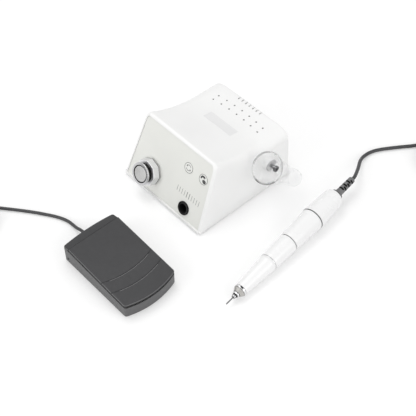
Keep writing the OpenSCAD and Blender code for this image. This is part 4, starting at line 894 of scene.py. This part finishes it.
def in_slot(at):
    here = in_hand(at)
    return SLOTS_FROM < here.z < SLOTS_TO and here.to_2d().length < SLOT_R


# The floors of the slots are painted black as shade.
tint(relief, DEEP_BLACK, in_slot)
for corner in relief.data.vertices:
    here = hand_back @ corner.co / MM
    middle = FIRST_SLOT + SLOT_STEP * min(SLOTS - 1, max(0, round((here.z - FIRST_SLOT) / SLOT_STEP)))
    if abs(abs(here.z - middle) - SLOT_W / 2) < 0.05:
        here.z += math.copysign(SLOT_EASE, here.z - middle)
        corner.co = AT_HAND @ (here * MM)

# Nose cap: nub, groove, cone and a collar with two spanner notches, on a spigot
COLLAR_R, COLLAR_W, COLLAR_FROM_R, CAP_L = NOSE_R + 0.2, 2.4, 6.0, 9.0
NUB_END, NUB_R, LINE_W = -CAP_L + 1.2, 4.1, 0.45
BORE_R, SPIGOT_R, SPIGOT_L = 2.7, 5.45, 5.0
NOTCH_AT, NOTCH_HALF, NOTCH_DEEP, NOTCH_EDGE = math.radians(196), math.radians(15), 0.9, 0.05
nose = turned([
    (BORE_R, SPIGOT_L), (BORE_R, -CAP_L), (NUB_R - 0.6, -CAP_L, 0.2), (NUB_R, -CAP_L + 0.6, 0.2),
    (NUB_R, NUB_END, 0.1), (NUB_R - 0.5, NUB_END + 0.1), (NUB_R - 0.5, NUB_END + 0.9),
    (NUB_R + 0.2, NUB_END + 1.0), (NOSE_R - 0.2, -COLLAR_W - 0.7, 0.15), (NOSE_R - 0.45, -COLLAR_W - 0.35),
    (COLLAR_R, -COLLAR_W, 0.25), (COLLAR_R, -LINE_W, 0.2), (COLLAR_R - 0.4, -LINE_W + 0.05),
    (COLLAR_R - 0.4, 0.0), (SPIGOT_R, 0.0), (SPIGOT_R, SPIGOT_L), (BORE_R, SPIGOT_L)])


def nose_band(low, high, from_r=COLLAR_FROM_R):
    return lambda at: low < at.z < high and at.to_2d().length > from_r


paint(nose, NOSE_METAL)
tint(nose, CHROME, nose_band(-COLLAR_W - 0.2, 0.1))
tint(nose, CHROME, nose_band(-CAP_L - 1, NUB_END + 0.05, 3.0))
# Painted shade: the groove behind the nub gets a darker metal, the step behind the collar and the band
# before it a dark one.
tint(nose, MID_TRIM, nose_band(NUB_END + 0.04, NUB_END + 0.98, 3.3))
tint(nose, DARK_TRIM, nose_band(-LINE_W + 0.01, SPIGOT_L))
tint(nose, DARK_TRIM, nose_band(-COLLAR_W - 0.75, -COLLAR_W - 0.25))


def in_notch(at):
    turn = math.atan2(at.y, at.x)
    near = min(abs((turn - NOTCH_AT - side + math.pi) % math.tau - math.pi) for side in (0, math.pi))
    along = -COLLAR_W + 0.2 < at.z < -LINE_W - 0.1
    return near < NOTCH_HALF and along and at.to_2d().length > COLLAR_R - 0.1


def on_notch_floor(at):
    r = at.to_2d().length
    deep = COLLAR_R - NOTCH_DEEP - 0.35 < r < COLLAR_R - 0.2
    return deep and -COLLAR_W < at.z < -0.1 and in_notch(at * (COLLAR_R / r))


pick_faces(nose, lambda at, normal: in_notch(at))
bpy.ops.mesh.inset(thickness=NOTCH_EDGE * MM, depth=-NOTCH_DEEP * MM)
leave()
# The notch floors are painted black as shade.
tint(nose, BLACK, on_notch_floor)
smooth(nose, 32)
put(nose, AT_HAND)
seat(nose, "nose_cap_turned", BODY, "satin_metal", "nose_cap")

spindle = skin_of("spindle", "rotor", "steel", STEEL, 36)
tint(spindle, DEEP_BLACK, lambda at: in_hand(at).z < 0)

SHANK_R, SHANK_BACK, NECK_R, NECK_END, BIT_TIP = 1.175, 16.0, 0.66, -CAP_L - 2.9, -CAP_L - 14.0
bit = turned([
    (POINT_R, SHANK_BACK), (SHANK_R, SHANK_BACK), (SHANK_R, NECK_END, 0.3), (NECK_R, NECK_END - 0.8, 0.2),
    (NECK_R, BIT_TIP + 1.2), (NECK_R - 0.12, BIT_TIP + 0.2, 0.1), (POINT_R, BIT_TIP)], 32)
paint(bit, BIT_STEEL)
smooth(bit, 32)
put(bit, AT_HAND)
seat(bit, "bit_turned", "rotor", "steel", "bit_shank")

TRIM_GAP, TRIM_SINK = 0.02, 0.15
trims = []
for at, r, bore, tone in ((RING_1, CHUCK_R, 8.3, LIGHT_TRIM), (RING_2, MIDDLE_R, 8.3, MID_TRIM),
                          (RING_3, WIDE_R, 9.1, DARK_TRIM)):
    near, far, rim = at + TRIM_GAP, at + TRIM_W - TRIM_GAP, r - TRIM_SINK
    ring = turned([(bore, near), (rim, near, 0.15), (rim, far, 0.15), (bore, far), (bore, near)])
    paint(ring, tone)
    trims.append(ring)
trim = join(*trims)
smooth(trim, 32)
put(trim, AT_HAND)
seat(trim, "trim_rings_turned", BODY, "trim_dark", "trim_rings")


# Foot pedal

skin_of("pedal_base", BODY, "pedal_grey", PEDAL_WALL, 30)
# Faces on the rounded edges of plate and strip, sloping between these bounds, get the lighter grey as a
# painted highlight.
EDGE_HIGHLIGHT_FROM, EDGE_HIGHLIGHT_TO, GAP_SHADE_FACING = 0.3, 0.86, 0.95
for node, body, inner_side in (("pedal_plate", "treadle", -1), ("pedal_rear_strip", BODY, 1)):
    lid = skin_of(node, body, "pedal_grey", PEDAL, 30)
    tint_facing(lid, PEDAL_EDGE_HIGHLIGHT, lambda normal: EDGE_HIGHLIGHT_FROM < normal.z < EDGE_HIGHLIGHT_TO)
    # Faces turned into the gap between plate and strip are painted black as shade.
    tint_facing(lid, DEEP_BLACK, lambda normal: normal.x * inner_side > GAP_SHADE_FACING)
skin_of("pedal_grommet", BODY, "black_rubber", RUBBER, 36)
skin_of("pedal_feet", BODY, "black_rubber", RUBBER, 36)
spring = skin_of("return_spring", BODY, "steel", STEEL, 40)
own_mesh(spring)
# Raised beads along the two grooves, in a lighter grey that paints the highlight the groove edges catch.
GROOVES, BEAD_OFF, BEAD_W, BEAD_H, BEAD_SPREAD = (71.3, 86.8), 0.72, 0.35, 0.24, 16.0
beads = [band(FRONT_ARC + BEAD_OFF, BEAD_W, -BEAD_SPREAD, BEAD_SPREAD, (x - PLATE_FROM - FRONT_ARC, 0))
         for x in GROOVES]
printed("tread_beads", beads, AT_PLATE, BEAD_HIGHLIGHT_GREY, "treadle", "pedal_grey", BEAD_H, True)


# Table, lamps and sky

def plainly_seen(tree):
    """One where the camera looks straight, by a reflection or through clear plastic."""
    path = tree.nodes.new("ShaderNodeLightPath")
    found = path.outputs["Is Camera Ray"]
    for ray in ("Is Glossy Ray", "Is Transmission Ray"):
        either = tree.nodes.new("ShaderNodeMath")
        either.operation = "MAXIMUM"
        tree.links.new(found, either.inputs[0])
        tree.links.new(path.outputs[ray], either.inputs[1])
        found = either.outputs[0]
    return found


TABLE_SIZE, TABLE_Z = 3.4, -0.0002
TABLE_SEEN, TABLE_BOUNCE, TABLE_GLOW = 0.74, 0.85, 0.27


def table_material():
    material = bpy.data.materials.new("white_table")
    material.use_nodes = True
    tree = material.node_tree
    tree.nodes.clear()
    out = tree.nodes.new("ShaderNodeOutputMaterial")
    matt = tree.nodes.new("ShaderNodeBsdfDiffuse")
    matt.inputs["Color"].default_value = (TABLE_SEEN, TABLE_SEEN, TABLE_SEEN, 1)
    bounce = tree.nodes.new("ShaderNodeBsdfDiffuse")
    bounce.inputs["Color"].default_value = (TABLE_BOUNCE, TABLE_BOUNCE, TABLE_BOUNCE, 1)
    glow = tree.nodes.new("ShaderNodeEmission")
    glow.inputs["Strength"].default_value = TABLE_GLOW
    both = tree.nodes.new("ShaderNodeAddShader")
    choice = tree.nodes.new("ShaderNodeMixShader")
    tree.links.new(matt.outputs[0], both.inputs[0])
    tree.links.new(glow.outputs[0], both.inputs[1])
    tree.links.new(plainly_seen(tree), choice.inputs["Fac"])
    tree.links.new(bounce.outputs[0], choice.inputs[1])
    tree.links.new(both.outputs[0], choice.inputs[2])
    tree.links.new(choice.outputs[0], out.inputs["Surface"])
    return material


deselect()
bpy.ops.mesh.primitive_plane_add(size=TABLE_SIZE, location=(0, 0, TABLE_Z))
table = bpy.context.object
table.name = "table"
paint(table, table_material())


LAMPS_AIM = Vector((0, 0, 0.03))


def lamp(name, at, size, energy):
    data = bpy.data.lights.new(name, "AREA")
    data.shape = "DISK"
    data.size = size
    data.energy = energy
    obj = bpy.data.objects.new(name, data)
    obj.location = at
    obj.rotation_euler = (LAMPS_AIM - Vector(at)).to_track_quat("-Z", "Y").to_euler()
    bpy.context.scene.collection.objects.link(obj)


lamp("key_lamp", (-0.5, 0.05, 1.45), size=0.9, energy=5.4)
lamp("front_lamp", (-0.25, -1.5, 0.6), size=1.2, energy=7.2)
lamp("fill_lamp", (1.5, 0.3, 0.7), size=1.2, energy=7.0)

SKY_LIGHT, SKY_SEEN = 0.7, 1.0
world = bpy.data.worlds.new("studio")
bpy.context.scene.world = world
world.use_nodes = True
sky = world.node_tree
sky.nodes.clear()
sky_out = sky.nodes.new("ShaderNodeOutputWorld")


def white_sky(strength):
    node = sky.nodes.new("ShaderNodeBackground")
    node.inputs["Color"].default_value = (1, 1, 1, 1)
    node.inputs["Strength"].default_value = strength
    return node.outputs[0]


pick = sky.nodes.new("ShaderNodeMixShader")
sky.links.new(plainly_seen(sky), pick.inputs["Fac"])
sky.links.new(white_sky(SKY_LIGHT), pick.inputs[1])
sky.links.new(white_sky(SKY_SEEN), pick.inputs[2])
sky.links.new(pick.outputs[0], sky_out.inputs["Surface"])

bpy.context.scene.view_settings.view_transform = "Standard"
